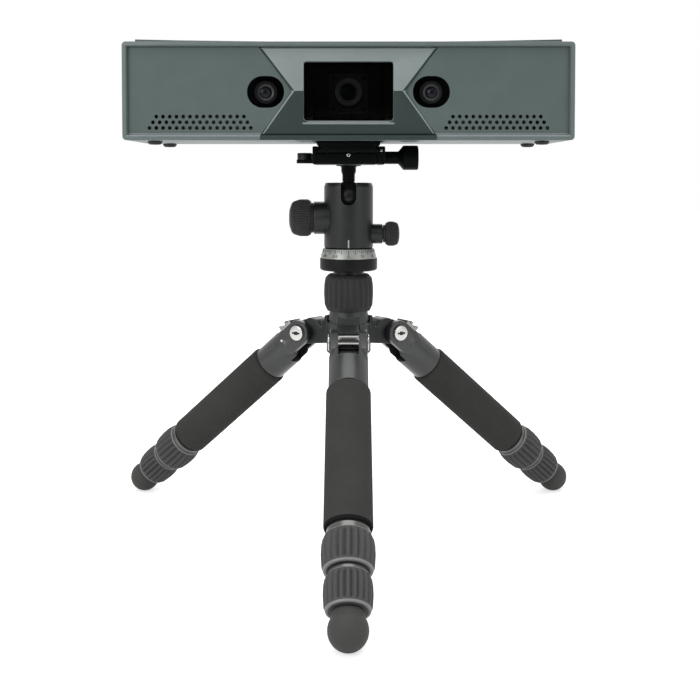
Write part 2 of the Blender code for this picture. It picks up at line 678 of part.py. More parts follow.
def build_front_panels(frame):
    """Left and right panels inside the sleeve, each with a camera opening and a vent grille."""
    half_width = BODY_WIDTH / 2 - SLEEVE_WALL - GAP
    half_height = BODY_HEIGHT / 2 - SLEEVE_WALL - GAP
    corner = SLEEVE_INNER_CORNER
    low = BODY_MIDDLE - half_height
    high = BODY_MIDDLE + half_height
    for name, side in (("left_panel", -1), ("right_panel", 1)):
        outline = [(BEZEL_BOTTOM_HALF + 2 * GAP, low)]
        outline += arc(corner, -QUARTER, 0.0, CORNER_STEPS, (half_width - corner, low + corner))
        outline += arc(corner, 0.0, QUARTER, CORNER_STEPS, (half_width - corner, high - corner))
        outline += [(BEZEL_TOP_HALF + 2 * GAP, high), (BEZEL_WAIST_HALF + 2 * GAP, BODY_MIDDLE)]
        outline = [(side * across, up) for across, up in outline]
        opening = rounded_rectangle(
            CAMERA_OPENING_WIDTH, CAMERA_OPENING_HEIGHT, CAMERA_OPENING_HEIGHT / 2, OPENING_STEPS,
            (side * CAMERA_SPACING / 2, CAMERA_Z),
        )
        outlines = [outline, opening] + vent_outlines(side)
        mesh = pierced_mesh(name, outlines, PANEL_FRONT, PANEL_BACK, FACE_FRONT)
        new_part(name, mesh, SLATE, frame)


def build_bezel(frame):
    """The waisted centre block with a ridge at mid height, its window opening and its sill."""
    half_height = BODY_HEIGHT / 2 - SLEEVE_WALL - GAP
    low = BODY_MIDDLE - half_height
    high = BODY_MIDDLE + half_height
    right = [(BEZEL_BOTTOM_HALF, low), (BEZEL_WAIST_HALF, BODY_MIDDLE), (BEZEL_TOP_HALF, high)]
    outline = right + [(-across, up) for across, up in reversed(right)]
    mesh = prism_mesh("centre_bezel", [outline], BODY_FRONT - OVERRUN, BEZEL_BACK_Y, FACE_FRONT)
    bezel = new_part("centre_bezel", mesh, SLATE, frame)

    side = [
        (BEZEL_BACK_Y + OVERRUN, low - OVERRUN), (PANEL_FRONT, low), (BODY_FRONT, BODY_MIDDLE),
        (PANEL_FRONT, high), (BEZEL_BACK_Y + OVERRUN, high + OVERRUN),
    ]
    ridge = prism_mesh("bezel_ridge", [side], -BEZEL_TOP_HALF - OVERRUN, BEZEL_TOP_HALF + OVERRUN, FACE_SIDE)
    combine(bezel, new_cutter("bezel_ridge", ridge, frame), "INTERSECT")
    bevel(bezel, BEZEL_BEVEL)

    window = rounded_rectangle(WINDOW_WIDTH, WINDOW_HEIGHT, WINDOW_CORNER, centre=(0.0, BODY_MIDDLE))
    through = prism_mesh("window_cut", [window], BODY_FRONT - OVERRUN, BEZEL_BACK_Y + OVERRUN, FACE_FRONT)
    combine(bezel, new_cutter("window_cut", through, frame))

    edge = BODY_MIDDLE - WINDOW_HEIGHT / 2
    inside = (BEZEL_BACK_Y - GAP, edge + GAP)
    outside = (BODY_FRONT - OVERRUN, edge - WINDOW_SILL - OVERRUN)
    wedge = [inside, outside, (outside[0], edge + OVERRUN), (inside[0], edge + OVERRUN)]
    half = WINDOW_WIDTH / 2 - WINDOW_CORNER
    combine(bezel, new_cutter("sill_cut", prism_mesh("sill_cut", [wedge], -half, half, FACE_SIDE), frame))

    size = (WINDOW_WIDTH + 2 * GLASS_MARGIN, GLASS_THICKNESS, WINDOW_HEIGHT + 2 * GLASS_MARGIN)
    glass = box_mesh("window_glass", size, (0.0, (GLASS_FRONT + GLASS_BACK) / 2, BODY_MIDDLE))
    new_part("window_glass", glass, BLACK_GLASS, frame)


def lens_profile(radius, length):
    """A lens barrel with a dished front, its front face at height zero."""
    inner = radius - CAMERA_LENS_RIM
    return [
        (0.0, -CAMERA_LENS_DISH), (inner, -CAMERA_LENS_DISH), (inner, 0.0),
        (radius, 0.0), (radius, -length), (0.0, -length),
    ]


def build_optics(frame):
    """Projector and two cameras, standing on one rail."""
    rail_front = BODY_FRONT + RAIL_FRONT_INSET
    rail_back = rail_front + RAIL_DEPTH
    flange_front = rail_back - RAIL_FLANGE_THICKNESS
    flange_top = RAIL_BOTTOM + RAIL_FLANGE_HEIGHT
    outline = [
        (rail_front, RAIL_BOTTOM), (rail_back, RAIL_BOTTOM), (rail_back, flange_top),
        (flange_front, flange_top), (flange_front, RAIL_TOP), (rail_front, RAIL_TOP),
    ]
    mesh = prism_mesh("optics_rail", [outline], -RAIL_LENGTH / 2, RAIL_LENGTH / 2, FACE_SIDE)
    rail = new_part("optics_rail", mesh, RAW_METAL, frame)
    bevel(rail, GAP)

    lens_front = GLASS_BACK + 2 * GAP
    front = lens_front + PROJECTOR_LENS_LENGTH
    size = (PROJECTOR_WIDTH, PROJECTOR_DEPTH, PROJECTOR_HEIGHT)
    mesh = box_mesh("projector", size, (0.0, front + PROJECTOR_DEPTH / 2, BODY_MIDDLE))
    projector = new_part("projector", mesh, LENS_BLACK, frame)
    bevel(projector, 3 * GAP)
    foot_low = RAIL_TOP + GAP
    size = (PROJECTOR_FOOT_WIDTH, PROJECTOR_FOOT_DEPTH, BODY_MIDDLE - foot_low)
    foot = box_mesh("projector_foot", size, (0.0, front + PROJECTOR_DEPTH / 2, foot_low + size[2] / 2))
    combine(projector, new_cutter("projector_foot", foot, frame), "UNION")
    lens = lens_profile(PROJECTOR_LENS_RADIUS, PROJECTOR_LENS_LENGTH + OVERRUN)
    place = (0.0, lens_front, BODY_MIDDLE)
    combine(projector, turned_cutter("projector_lens", lens, frame, place, (QUARTER, 0.0, 0.0)), "UNION")

    for name, side in (("left_camera", -1), ("right_camera", 1)):
        build_camera(name, side, frame)

    board_front = rail_back + GAP
    board_low = RAIL_TOP + GAP
    size = (BOARD_WIDTH, BOARD_THICKNESS, BOARD_HEIGHT)
    mesh = box_mesh("main_board", size, (0.0, board_front + size[1] / 2, board_low + size[2] / 2))
    board = new_part("main_board", mesh, BOARD_GREEN, frame)
    middle = board_low + BOARD_HEIGHT / 2
    back = board_front + BOARD_THICKNESS
    size = (HEAT_SINK_WIDTH, HEAT_SINK_BASE + OVERRUN / 2, HEAT_SINK_HEIGHT)
    base = box_mesh("heat_sink", size, (0.0, back - OVERRUN / 2 + size[1] / 2, middle))
    combine(board, new_cutter("heat_sink", base, frame), "UNION")
    fins = bmesh.new()
    pitch = (HEAT_SINK_WIDTH - HEAT_SINK_FIN_WIDTH) / (HEAT_SINK_FINS - 1)
    depth = HEAT_SINK_FIN + HEAT_SINK_BASE / 2
    for i in range(HEAT_SINK_FINS):
        across = i * pitch - (HEAT_SINK_WIDTH - HEAT_SINK_FIN_WIDTH) / 2
        place = Matrix.Translation((across, back + HEAT_SINK_BASE / 2 + depth / 2, middle))
        stretch = Matrix.Diagonal((HEAT_SINK_FIN_WIDTH, depth, HEAT_SINK_HEIGHT - 2 * GAP, 1.0))
        bmesh.ops.create_cube(fins, size=1.0, matrix=place @ stretch)
    fin_mesh = mesh_from_bmesh("heat_sink_fins", fins)
    combine(board, new_cutter("heat_sink_fins", fin_mesh, frame), "UNION")


def build_camera(name, side, frame):
    """A camera block on its foot, toed in towards the middle of the view."""
    place = (side * CAMERA_SPACING / 2, PANEL_FRONT + CAMERA_INSET, CAMERA_Z)
    toe = (0.0, 0.0, -side * CAMERA_TOE)
    middle = CAMERA_LENS_LENGTH + CAMERA_BODY_DEPTH / 2
    mesh = box_mesh(name, (CAMERA_BODY, CAMERA_BODY_DEPTH, CAMERA_BODY), (0.0, middle, 0.0))
    camera = new_part(name, mesh, LENS_BLACK, frame, place, toe)
    bevel(camera, 3 * GAP)
    foot_low = RAIL_TOP + GAP - CAMERA_Z
    size = (CAMERA_FOOT_WIDTH, CAMERA_FOOT_DEPTH, -foot_low)
    foot = box_mesh(name + "_foot", size, (0.0, middle, foot_low / 2))
    combine(camera, new_cutter(name + "_foot", foot, camera), "UNION")
    lens = lens_profile(CAMERA_LENS_RADIUS, CAMERA_LENS_LENGTH + OVERRUN)
    tool = turned_cutter(name + "_lens", lens, camera, rotation=(QUARTER, 0.0, 0.0), steps=TUBE_STEPS)
    combine(camera, tool, "UNION")


def grille_outlines():
    """Horizontal slots inside a circle, split by the disc that carries the fan."""
    slots = []
    for row in range(GRILLE_ROWS):
        up = (row - (GRILLE_ROWS - 1) / 2) * GRILLE_PITCH
        outside = math.sqrt(GRILLE_RADIUS ** 2 - up ** 2)
        inside = math.sqrt(max(GRILLE_HUB_RADIUS ** 2 - up ** 2, GRILLE_SLOT ** 2))
        low = BODY_MIDDLE + up - GRILLE_SLOT / 2
        high = low + GRILLE_SLOT
        for side in (-1, 1):
            near = FAN_X + side * inside
            far = FAN_X + side * outside
            slots.append([(near, low), (far, low), (far, high), (near, high)])
    return slots


def build_rear(frame):
    """Rear cover with fan grille, shroud and inlets, the fan rotor and the power button."""
    width = BODY_WIDTH - 2 * (SLEEVE_WALL + GAP)
    height = BODY_HEIGHT - 2 * (SLEEVE_WALL + GAP)
    outline = rounded_rectangle(width, height, SLEEVE_INNER_CORNER, centre=(0.0, BODY_MIDDLE))
    mesh = prism_mesh("rear_cover", [outline], REAR_IN, REAR_OUT, FACE_FRONT)
    cover = new_part("rear_cover", mesh, SLATE_DARK, frame)
    openings = grille_outlines() + [circle(BUTTON_RADIUS + GAP, SMALL_STEPS, (BUTTON_X, BODY_MIDDLE))]
    mesh = prism_mesh("grille_cut", openings, REAR_IN - OVERRUN, REAR_OUT + OVERRUN, FACE_FRONT)
    combine(cover, new_cutter("grille_cut", mesh, frame))

    inward = (QUARTER, 0.0, 0.0)
    root = -REAR_THICKNESS / 2
    bore = SHROUD_RADIUS - SHROUD_WALL
    ring = [(SHROUD_RADIUS, SHROUD_DEPTH), (SHROUD_RADIUS, root), (bore, root), (bore, SHROUD_DEPTH)]
    fan_place = (FAN_X, REAR_IN, BODY_MIDDLE)
    shroud = new_cutter("fan_shroud", profile_mesh("fan_shroud", ring, True), frame, fan_place, inward)
    combine(cover, turn(shroud, TURN_STEPS), "UNION")
    post = rod_mesh("fan_post", FAN_POST_RADIUS, root, FAN_POST_LENGTH)
    combine(cover, new_cutter("fan_post", post, frame, fan_place, inward), "UNION")

    depth = PORT_DEPTH + PORT_WALL
    size = (DATA_PORT_WIDTH + 2 * PORT_WALL, depth - root, DATA_PORT_HEIGHT + 2 * PORT_WALL)
    place = (DATA_PORT_X, REAR_IN - (depth + root) / 2, BODY_MIDDLE)
    combine(cover, new_cutter("data_port_wall", box_mesh("data_port_wall", size, place), frame), "UNION")
    depth = PORT_DEPTH + REAR_THICKNESS + OVERRUN
    size = (DATA_PORT_WIDTH, depth, DATA_PORT_HEIGHT)
    place = (DATA_PORT_X, REAR_OUT + OVERRUN - depth / 2, BODY_MIDDLE)
    combine(cover, new_cutter("data_port_cut", box_mesh("data_port_cut", size, place), frame))

    place = (POWER_PORT_X, REAR_IN, BODY_MIDDLE)
    wall = rod_mesh("power_port_wall", POWER_PORT_RADIUS + PORT_WALL, root, PORT_DEPTH + PORT_WALL)
    combine(cover, new_cutter("power_port_wall", wall, frame, place, inward), "UNION")
    bore = rod_mesh("power_port_cut", POWER_PORT_RADIUS, -REAR_THICKNESS - OVERRUN, PORT_DEPTH)
    combine(cover, new_cutter("power_port_cut", bore, frame, place, inward))

    build_fan(frame, fan_place, inward)

    flange = BUTTON_RADIUS + BUTTON_FLANGE
    shelf = -REAR_THICKNESS - GAP
    profile = [
        (0.0, BUTTON_PROUD), (BUTTON_RADIUS - BUTTON_CHAMFER, BUTTON_PROUD),
        (BUTTON_RADIUS, BUTTON_PROUD - BUTTON_CHAMFER), (BUTTON_RADIUS, shelf), (flange, shelf),
        (flange, shelf - BUTTON_FLANGE_THICKNESS), (0.0, shelf - BUTTON_FLANGE_THICKNESS),
    ]
    place = (BUTTON_X, REAR_OUT, BODY_MIDDLE)
    turned_part("power_button", profile, BLACK_METAL, frame, place, (-QUARTER, 0.0, 0.0), SMALL_STEPS)


def build_fan(frame, place, inward):
    """A bladed rotor that turns on the rear cover's post."""
    low = 2 * GAP
    top = low + FAN_HUB_LENGTH
    bore = FAN_POST_RADIUS + GAP
    bore_top = FAN_POST_LENGTH + GAP
    profile = [
        (0.0, top), (FAN_HUB_RADIUS - FAN_HUB_CROWN, top), (FAN_HUB_RADIUS, top - FAN_HUB_CROWN),
        (FAN_HUB_RADIUS, low), (bore, low), (bore, bore_top), (0.0, bore_top),
    ]
    rotor = turned_part("fan_rotor", profile, LENS_BLACK, frame, place, inward, SMALL_STEPS)
    blades = bmesh.new()
    inside = (FAN_HUB_RADIUS + bore) / 2
    size = (FAN_RADIUS - inside, FAN_BLADE_THICKNESS, FAN_BLADE_CHORD)
    for i in range(FAN_BLADES):
        turned = Matrix.Rotation(i * 4 * QUARTER / FAN_BLADES, 4, "Z")
        place_out = Matrix.Translation(((FAN_RADIUS + inside) / 2, 0.0, (low + top) / 2))
        pitch = Matrix.Rotation(FAN_BLADE_PITCH, 4, "X")
        stretch = Matrix.Diagonal((*size, 1.0))
        bmesh.ops.create_cube(blades, size=1.0, matrix=turned @ place_out @ pitch @ stretch)
    tool = new_cutter("fan_blades", mesh_from_bmesh("fan_blades", blades), rotor)
    combine(rotor, tool, "UNION")


# Rubber pad: (share of radius, share of height below its seat)
PAD_SHARES = ((0.0, 0.0), (1.0, 0.0), (1.0, 0.4), (0.72, 0.88), (0.0, 1.0))


def build_pads(frame):
    """Four domed rubber pads under the scanner."""
    inset = BODY_DEPTH / 2 - FOOT_PAD_INSET
    for name, across, along in (
        ("front_left_pad", -1, -1), ("front_right_pad", 1, -1),
        ("rear_left_pad", -1, 1), ("rear_right_pad", 1, 1),
    ):
        profile = [(FOOT_PAD_RADIUS * wide, -FOOT_PAD_HEIGHT * deep) for wide, deep in PAD_SHARES]
        place = (across * FOOT_PAD_X, along * inset, BODY_BOTTOM - GAP)
        turned_part(name, profile, RUBBER, frame, place, steps=SMALL_STEPS)


def build_plate(frame):
    """Dovetail plate under the scanner, held by its screw."""
    low = CLAMP_BOTTOM + CLAMP_FLOOR + GAP
    lip = low + DOVETAIL_LIP
    neck = lip + DOVETAIL_HALF - DOVETAIL_NECK_HALF
    right = [
        (DOVETAIL_HALF, low), (DOVETAIL_HALF, lip), (DOVETAIL_NECK_HALF, neck),
        (DOVETAIL_NECK_HALF, FLANGE_BOTTOM), (PLATE_FLANGE_HALF, FLANGE_BOTTOM),
        (PLATE_FLANGE_HALF, FLANGE_TOP),
    ]
    outline = right + [(-across, up) for across, up in reversed(right)]
    mesh = prism_mesh("quick_release_plate", [outline], -PLATE_LENGTH / 2, PLATE_LENGTH / 2, FACE_FRONT)
    plate = new_part("quick_release_plate", mesh, BLACK_METAL, frame)
    head_top = low + GAP + PLATE_SCREW_HEAD_HEIGHT
    hole = [
        (0.0, FLANGE_TOP + OVERRUN), (PLATE_SCREW_RADIUS + GAP, FLANGE_TOP + OVERRUN),
        (PLATE_SCREW_RADIUS + GAP, head_top + GAP), (PLATE_SCREW_HEAD_RADIUS + GAP, head_top + GAP),
        (PLATE_SCREW_HEAD_RADIUS + GAP, low - OVERRUN), (0.0, low - OVERRUN),
    ]
    combine(plate, turned_cutter("plate_screw_cut", hole, frame, steps=TUBE_STEPS))
    screw = [
        (0.0, FLOOR_Z - GAP), (PLATE_SCREW_RADIUS, FLOOR_Z - GAP), (PLATE_SCREW_RADIUS, head_top),
        (PLATE_SCREW_HEAD_RADIUS, head_top), (PLATE_SCREW_HEAD_RADIUS, low + GAP), (0.0, low + GAP),
    ]
    turned_part("plate_screw", screw, BRIGHT_METAL, frame, steps=TUBE_STEPS)


def build_clamp(frame):
    """Clamp base with its fixed jaw and level pad, the moving jaw, the knob and the level."""
    floor = CLAMP_BOTTOM + CLAMP_FLOOR
    lip = floor + GAP + DOVETAIL_LIP
    seam = GAP * math.sqrt(2.0)
    wall = DOVETAIL_HALF + GAP
    wall_top = lip + seam - GAP
    lip_edge = DOVETAIL_HALF + seam - (CLAMP_TOP - lip)
    base_outline = [
        (-CLAMP_LEFT, CLAMP_BOTTOM), (JAW_FACE - GAP, CLAMP_BOTTOM), (JAW_FACE - GAP, floor),
        (-wall, floor), (-wall, wall_top), (-lip_edge, CLAMP_TOP), (-CLAMP_LEFT, CLAMP_TOP),
    ]
    jaw_outline = [
        (JAW_FACE, CLAMP_BOTTOM), (JAW_RIGHT, CLAMP_BOTTOM), (JAW_RIGHT, CLAMP_TOP),
        (lip_edge, CLAMP_TOP), (wall, wall_top), (wall, floor), (JAW_FACE, floor),
    ]
    half = CLAMP_LENGTH / 2
    mesh = prism_mesh("clamp_base", [base_outline], -half, half, FACE_FRONT)
    base = new_part("clamp_base", mesh, BLACK_METAL, frame)
    bevel(base, CLAMP_BEVEL)
    mesh = prism_mesh("clamp_jaw", [jaw_outline], -half, half, FACE_FRONT)
    jaw = new_part("clamp_jaw", mesh, BLACK_METAL, frame)
    bevel(jaw, CLAMP_BEVEL)

    inner = CLAMP_LEFT - OVERRUN
    outer = LEVEL_CENTRE + LEVEL_PAD_RADIUS
    pad = rounded_rectangle(
        2 * (outer - inner), 2 * LEVEL_PAD_RADIUS, LEVEL_PAD_RADIUS, OPENING_STEPS, (-inner, 0.0)
    )
    pad_low = CLAMP_BOTTOM + CLAMP_BEVEL
    pad_high = pad_low + LEVEL_PAD_HEIGHT
    tool = new_cutter("level_pad", prism_mesh("level_pad", [pad], pad_low, pad_high, FACE_UP), frame)
    combine(base, tool, "UNION")
    round_top = LEVEL_RADIUS - LEVEL_DOME
    profile = [
        (0.0, LEVEL_HEIGHT), (round_top, LEVEL_HEIGHT), (LEVEL_RADIUS, LEVEL_HEIGHT - LEVEL_DOME),
        (LEVEL_RADIUS, 0.0), (0.0, 0.0),
    ]
    place = (-LEVEL_CENTRE, 0.0, pad_high + GAP)
    turned_part("spirit_level", profile, LEVEL_GLASS, frame, place, steps=TUBE_STEPS)

    shaft = CLAMP_KNOB_SHAFT_LENGTH
    wide = shaft + CLAMP_KNOB_CONE
    end = wide + CLAMP_KNOB_LENGTH
    profile = [
        (0.0, end), (CLAMP_KNOB_RADIUS - CLAMP_KNOB_CHAMFER, end),
        (CLAMP_KNOB_RADIUS, end - CLAMP_KNOB_CHAMFER),
        (CLAMP_KNOB_RADIUS, wide), (CLAMP_KNOB_SHAFT_RADIUS, shaft), (CLAMP_KNOB_SHAFT_RADIUS, 0.0),
        (SCREW_RADIUS, 0.0), (SCREW_RADIUS, -SCREW_LENGTH), (0.0, -SCREW_LENGTH),
    ]
    place = (JAW_RIGHT + GAP, 0.0, CLAMP_BOTTOM + SCREW_AXIS_RISE)
    outward = (0.0, QUARTER, 0.0)
    turned_part("clamp_knob", profile, BLACK_METAL, frame, place, outward, TUBE_STEPS)
    hole = rod_mesh("clamp_screw_cut", SCREW_RADIUS + GAP, -SCREW_LENGTH - OVERRUN, OVERRUN)
    tool = new_cutter("clamp_screw_cut", hole, frame, place, outward)
    combine(base, tool)
    combine(jaw, tool)


def build_ball(ball_frame):
    """Ball and the stem that carries the clamp."""
    new_part("ball", ball_mesh("ball", BALL_RADIUS), BRIGHT_METAL, ball_frame)
    top = PLATFORM_RISE - GAP
    lip = top - STEM_TOP_LIP
    profile = [
        (0.0, top), (STEM_TOP_RADIUS, top), (STEM_TOP_RADIUS, lip), (STEM_RADIUS, lip - STEM_FLARE),
        (STEM_RADIUS, BALL_RADIUS - STEM_SINK), (0.0, BALL_RADIUS - STEM_SINK),
    ]
    stem = turned_part("stem", profile, BLACK_METAL, ball_frame, steps=TUBE_STEPS)
    seat = new_cutter("stem_seat_cut", ball_mesh("stem_seat_cut", BALL_RADIUS + GAP), ball_frame)
    combine(stem, seat)


def mouth_profile():
    """The ball's seat, and above it the cone that the stem swings in."""
    rise = math.tan(BALL_SWING)
    offset = STEM_RADIUS / math.cos(BALL_SWING) + GAP
    radius = BALL_RADIUS + 2 * GAP
    square = 1.0 + rise ** 2
    root = math.sqrt((offset * rise) ** 2 - square * (offset ** 2 - radius ** 2))
    seat = (root - offset * rise) / square
    top = BALL_RIM_DROP + OVERRUN
    cup = arc(radius, math.asin(seat / radius), -QUARTER, CUP_STEPS)
    return [(0.0, top), (offset + rise * top, top)] + cup[:-1] + [(0.0, -radius)]


def knob_profile(radius, length, edge):
    """A knob with a round outer edge and a shaft behind it; its back face is at height zero."""
    rounding = arc(edge, QUARTER, 0.0, CORNER_STEPS, (radius - edge, length - edge))
    return [(0.0, length)] + rounding + [
        (radius, 0.0), (KNOB_SHAFT_RADIUS, 0.0), (KNOB_SHAFT_RADIUS, -KNOB_SHAFT_LENGTH),
        (0.0, -KNOB_SHAFT_LENGTH),
    ]


def build_head(frame, ball_frame):
    """Ball head housing with its mouth, portrait notch and two lock knobs."""
    recess = SPIGOT_RADIUS + GAP
    recess_top = HOUSING_BOTTOM + SPIGOT_HEIGHT
    profile = [
        (0.0, HOUSING_TOP), (HOUSING_RADIUS - RIM_BEVEL, HOUSING_TOP),
        (HOUSING_RADIUS, HOUSING_TOP - RIM_BEVEL),
        (HOUSING_RADIUS, HOUSING_BOTTOM), (recess, HOUSING_BOTTOM), (recess, recess_top), (0.0, recess_top),
    ]
    housing = turned_part("head_housing", profile, GREY_METAL, frame, steps=FINE_STEPS)
    knobs = (
        ("ball_knob", -1, BALL_KNOB_RISE, BALL_BOSS_RADIUS, BALL_BOSS_REACH,
         knob_profile(BALL_KNOB_RADIUS, BALL_KNOB_LENGTH, BALL_KNOB_ROUND)),
        ("pan_knob", 1, PAN_KNOB_RISE, PAN_BOSS_RADIUS, PAN_BOSS_REACH,
         knob_profile(PAN_KNOB_RADIUS, PAN_KNOB_LENGTH, PAN_KNOB_ROUND)),
    )
    holes = []
    for name, side, rise, radius, reach, profile in knobs:
        outward = (0.0, side * QUARTER, 0.0)
        place = (0.0, 0.0, HOUSING_BOTTOM + rise)
        boss = rod_mesh(name + "_boss", radius, SPIGOT_RADIUS + 2 * GAP, reach, TUBE_STEPS)
        combine(housing, new_cutter(name + "_boss", boss, frame, place, outward), "UNION")
        hole = rod_mesh(
            name + "_cut", KNOB_SHAFT_RADIUS + GAP, reach - KNOB_SHAFT_LENGTH - GAP, reach + OVERRUN
        )
        holes.append(new_cutter(name + "_cut", hole, frame, place, outward))
        knob_place = (side * (reach + GAP), 0.0, HOUSING_BOTTOM + rise)
        turned_part(name, profile, RUBBER, frame, knob_place, outward, TUBE_STEPS)
    for hole in holes:
        combine(housing, hole)
    combine(housing, turned_cutter("ball_mouth_cut", mouth_profile(), ball_frame, steps=TURN_STEPS))
    slot = arc(NOTCH_HALF_WIDTH, -2 * QUARTER, 0.0, OPENING_STEPS)
    slot += [(NOTCH_HALF_WIDTH, BALL_RIM_DROP + OVERRUN), (-NOTCH_HALF_WIDTH, BALL_RIM_DROP + OVERRUN)]
    notch = prism_mesh("notch_cut", [slot], -HOUSING_RADIUS - OVERRUN, 0.0, FACE_FRONT)
    combine(housing, new_cutter("notch_cut", notch, ball_frame))

    profile = [
        (0.0, SCALE_TOP + SPIGOT_HEIGHT - GAP), (SPIGOT_RADIUS, SCALE_TOP + SPIGOT_HEIGHT - GAP),
        (SPIGOT_RADIUS, SCALE_TOP), (SCALE_TOP_RADIUS, SCALE_TOP), (SCALE_BOTTOM_RADIUS, SCALE_BOTTOM),
        (PAN_BASE_RADIUS, SCALE_BOTTOM), (PAN_BASE_RADIUS, PAN_BASE_BOTTOM + PAN_BASE_ROUND),
        (PAN_BASE_RADIUS - PAN_BASE_ROUND, PAN_BASE_BOTTOM), (COLUMN_STUD_RADIUS + GAP, PAN_BASE_BOTTOM),
        (COLUMN_STUD_RADIUS + GAP, PAN_BASE_BOTTOM + COLUMN_STUD_HEIGHT + GAP),
        (0.0, PAN_BASE_BOTTOM + COLUMN_STUD_HEIGHT + GAP),
    ]
    turned_part("pan_base", profile, GREY_METAL, frame, steps=FINE_STEPS)


def build_column(frame):
    """Centre column with its stud and bottom cap, and the twist lock that grips it."""
    shoulder = PAN_BASE_BOTTOM - GAP
    cap_top = HUB_BOTTOM - COLUMN_STROKE - GAP
    cap_bottom = cap_top - COLUMN_CAP_HEIGHT
    bore = COLUMN_RADIUS - TUBE_WALL
    bore_top = shoulder - COLUMN_STUD_RADIUS
    profile = [
        (0.0, shoulder + COLUMN_STUD_HEIGHT), (COLUMN_STUD_RADIUS, shoulder + COLUMN_STUD_HEIGHT),
        (COLUMN_STUD_RADIUS, shoulder), (COLUMN_RADIUS, shoulder), (COLUMN_RADIUS, cap_top),
        (COLUMN_CAP_RADIUS, cap_top), (COLUMN_CAP_RADIUS, cap_bottom), (bore, cap_bottom),
        (bore, bore_top), (0.0, bore_top),
    ]
    turned_part("column", profile, BLACK_METAL, frame, steps=FINE_STEPS)

    rows = barrel_rows(COLUMN_LOCK_SHARES, COLUMN_LOCK_TOP, COLUMN_LOCK_BOTTOM, COLUMN_LOCK_RADIUS)
    wide = HUB_TOP_RADIUS + GAP
    slim = COLUMN_RADIUS + GAP
    step = HUB_TOP + HUB_COLLET_HEIGHT + GAP
    rows += [(wide, COLUMN_LOCK_BOTTOM, 0.0), (wide, step, 0.0), (slim, step, 0.0)]
    rows += [(slim, COLUMN_LOCK_TOP, 0.0)]
    new_part("column_lock", fluted_mesh("column_lock", rows, COLUMN_LOCK_FLUTES), RUBBER, frame)


# Shoulder of a hub arm: (share of the way out to its end, share of its rise above the pivot)
SHOULDER_SHARES = (
    (0.0, 1.0), (0.35, 0.97), (0.75, 0.72), (1.0, 0.3), (1.0, -0.12), (0.8, -0.42), (0.0, -0.84),
)


def build_hub(frame, pivot_cuts):
    """Hub with a collet neck for the column lock, and a tongue with a shoulder for each leg."""
    profile = [
        (0.0, HUB_TOP + HUB_COLLET_HEIGHT), (HUB_TOP_RADIUS, HUB_TOP + HUB_COLLET_HEIGHT),
        (HUB_TOP_RADIUS, HUB_TOP), (HUB_BODY_RADIUS, HIP_Z + HUB_BODY_TOP_RISE),
        (HUB_BODY_RADIUS, HUB_BOTTOM + HUB_CHAMFER), (HUB_BODY_RADIUS - HUB_CHAMFER, HUB_BOTTOM),
        (0.0, HUB_BOTTOM),
    ]
    hub = turned_part("hub", profile, BLACK_METAL, frame, steps=FINE_STEPS)
    tongue_half = FORK_HALF_GAP - GAP
    tongue = [(-ARM_ROOT, HIP_Z + TONGUE_TOP_RISE)]
    tongue += arc(TONGUE_RADIUS, QUARTER, 3 * QUARTER, 2 * OPENING_STEPS, (-HIP_RADIUS, HIP_Z))
    tongue += [(-ARM_ROOT, HIP_Z - TONGUE_BOTTOM_DROP)]
    span = SHOULDER_REACH - ARM_ROOT
    shoulder = [(-ARM_ROOT - span * out, HIP_Z + SHOULDER_TOP_RISE * up) for out, up in SHOULDER_SHARES]
    for side, azimuth in LEG_AZIMUTHS.items():
        turned = (0.0, 0.0, azimuth)
        half = SHOULDER_HALF_WIDTH
        mesh = prism_mesh("shoulder_" + side, [shoulder], -half, half, FACE_SIDE)
        block = new_cutter("shoulder_" + side, mesh, frame, rotation=turned)
        bevel(block, SHOULDER_BEVEL, limit=60.0 * DEG)
        combine(hub, block, "UNION")
        mesh = prism_mesh("tongue_" + side, [tongue], -tongue_half, tongue_half, FACE_SIDE)
        combine(hub, new_cutter("tongue_" + side, mesh, frame, rotation=turned), "UNION")
    bore_top = HUB_TOP + HUB_COLLET_HEIGHT + OVERRUN
    bore = rod_mesh("column_bore_cut", COLUMN_RADIUS + GAP, HUB_BOTTOM - OVERRUN, bore_top, TURN_STEPS)
    combine(hub, new_cutter("column_bore_cut", bore, frame))
    for cut in pivot_cuts.values():
        combine(hub, cut)


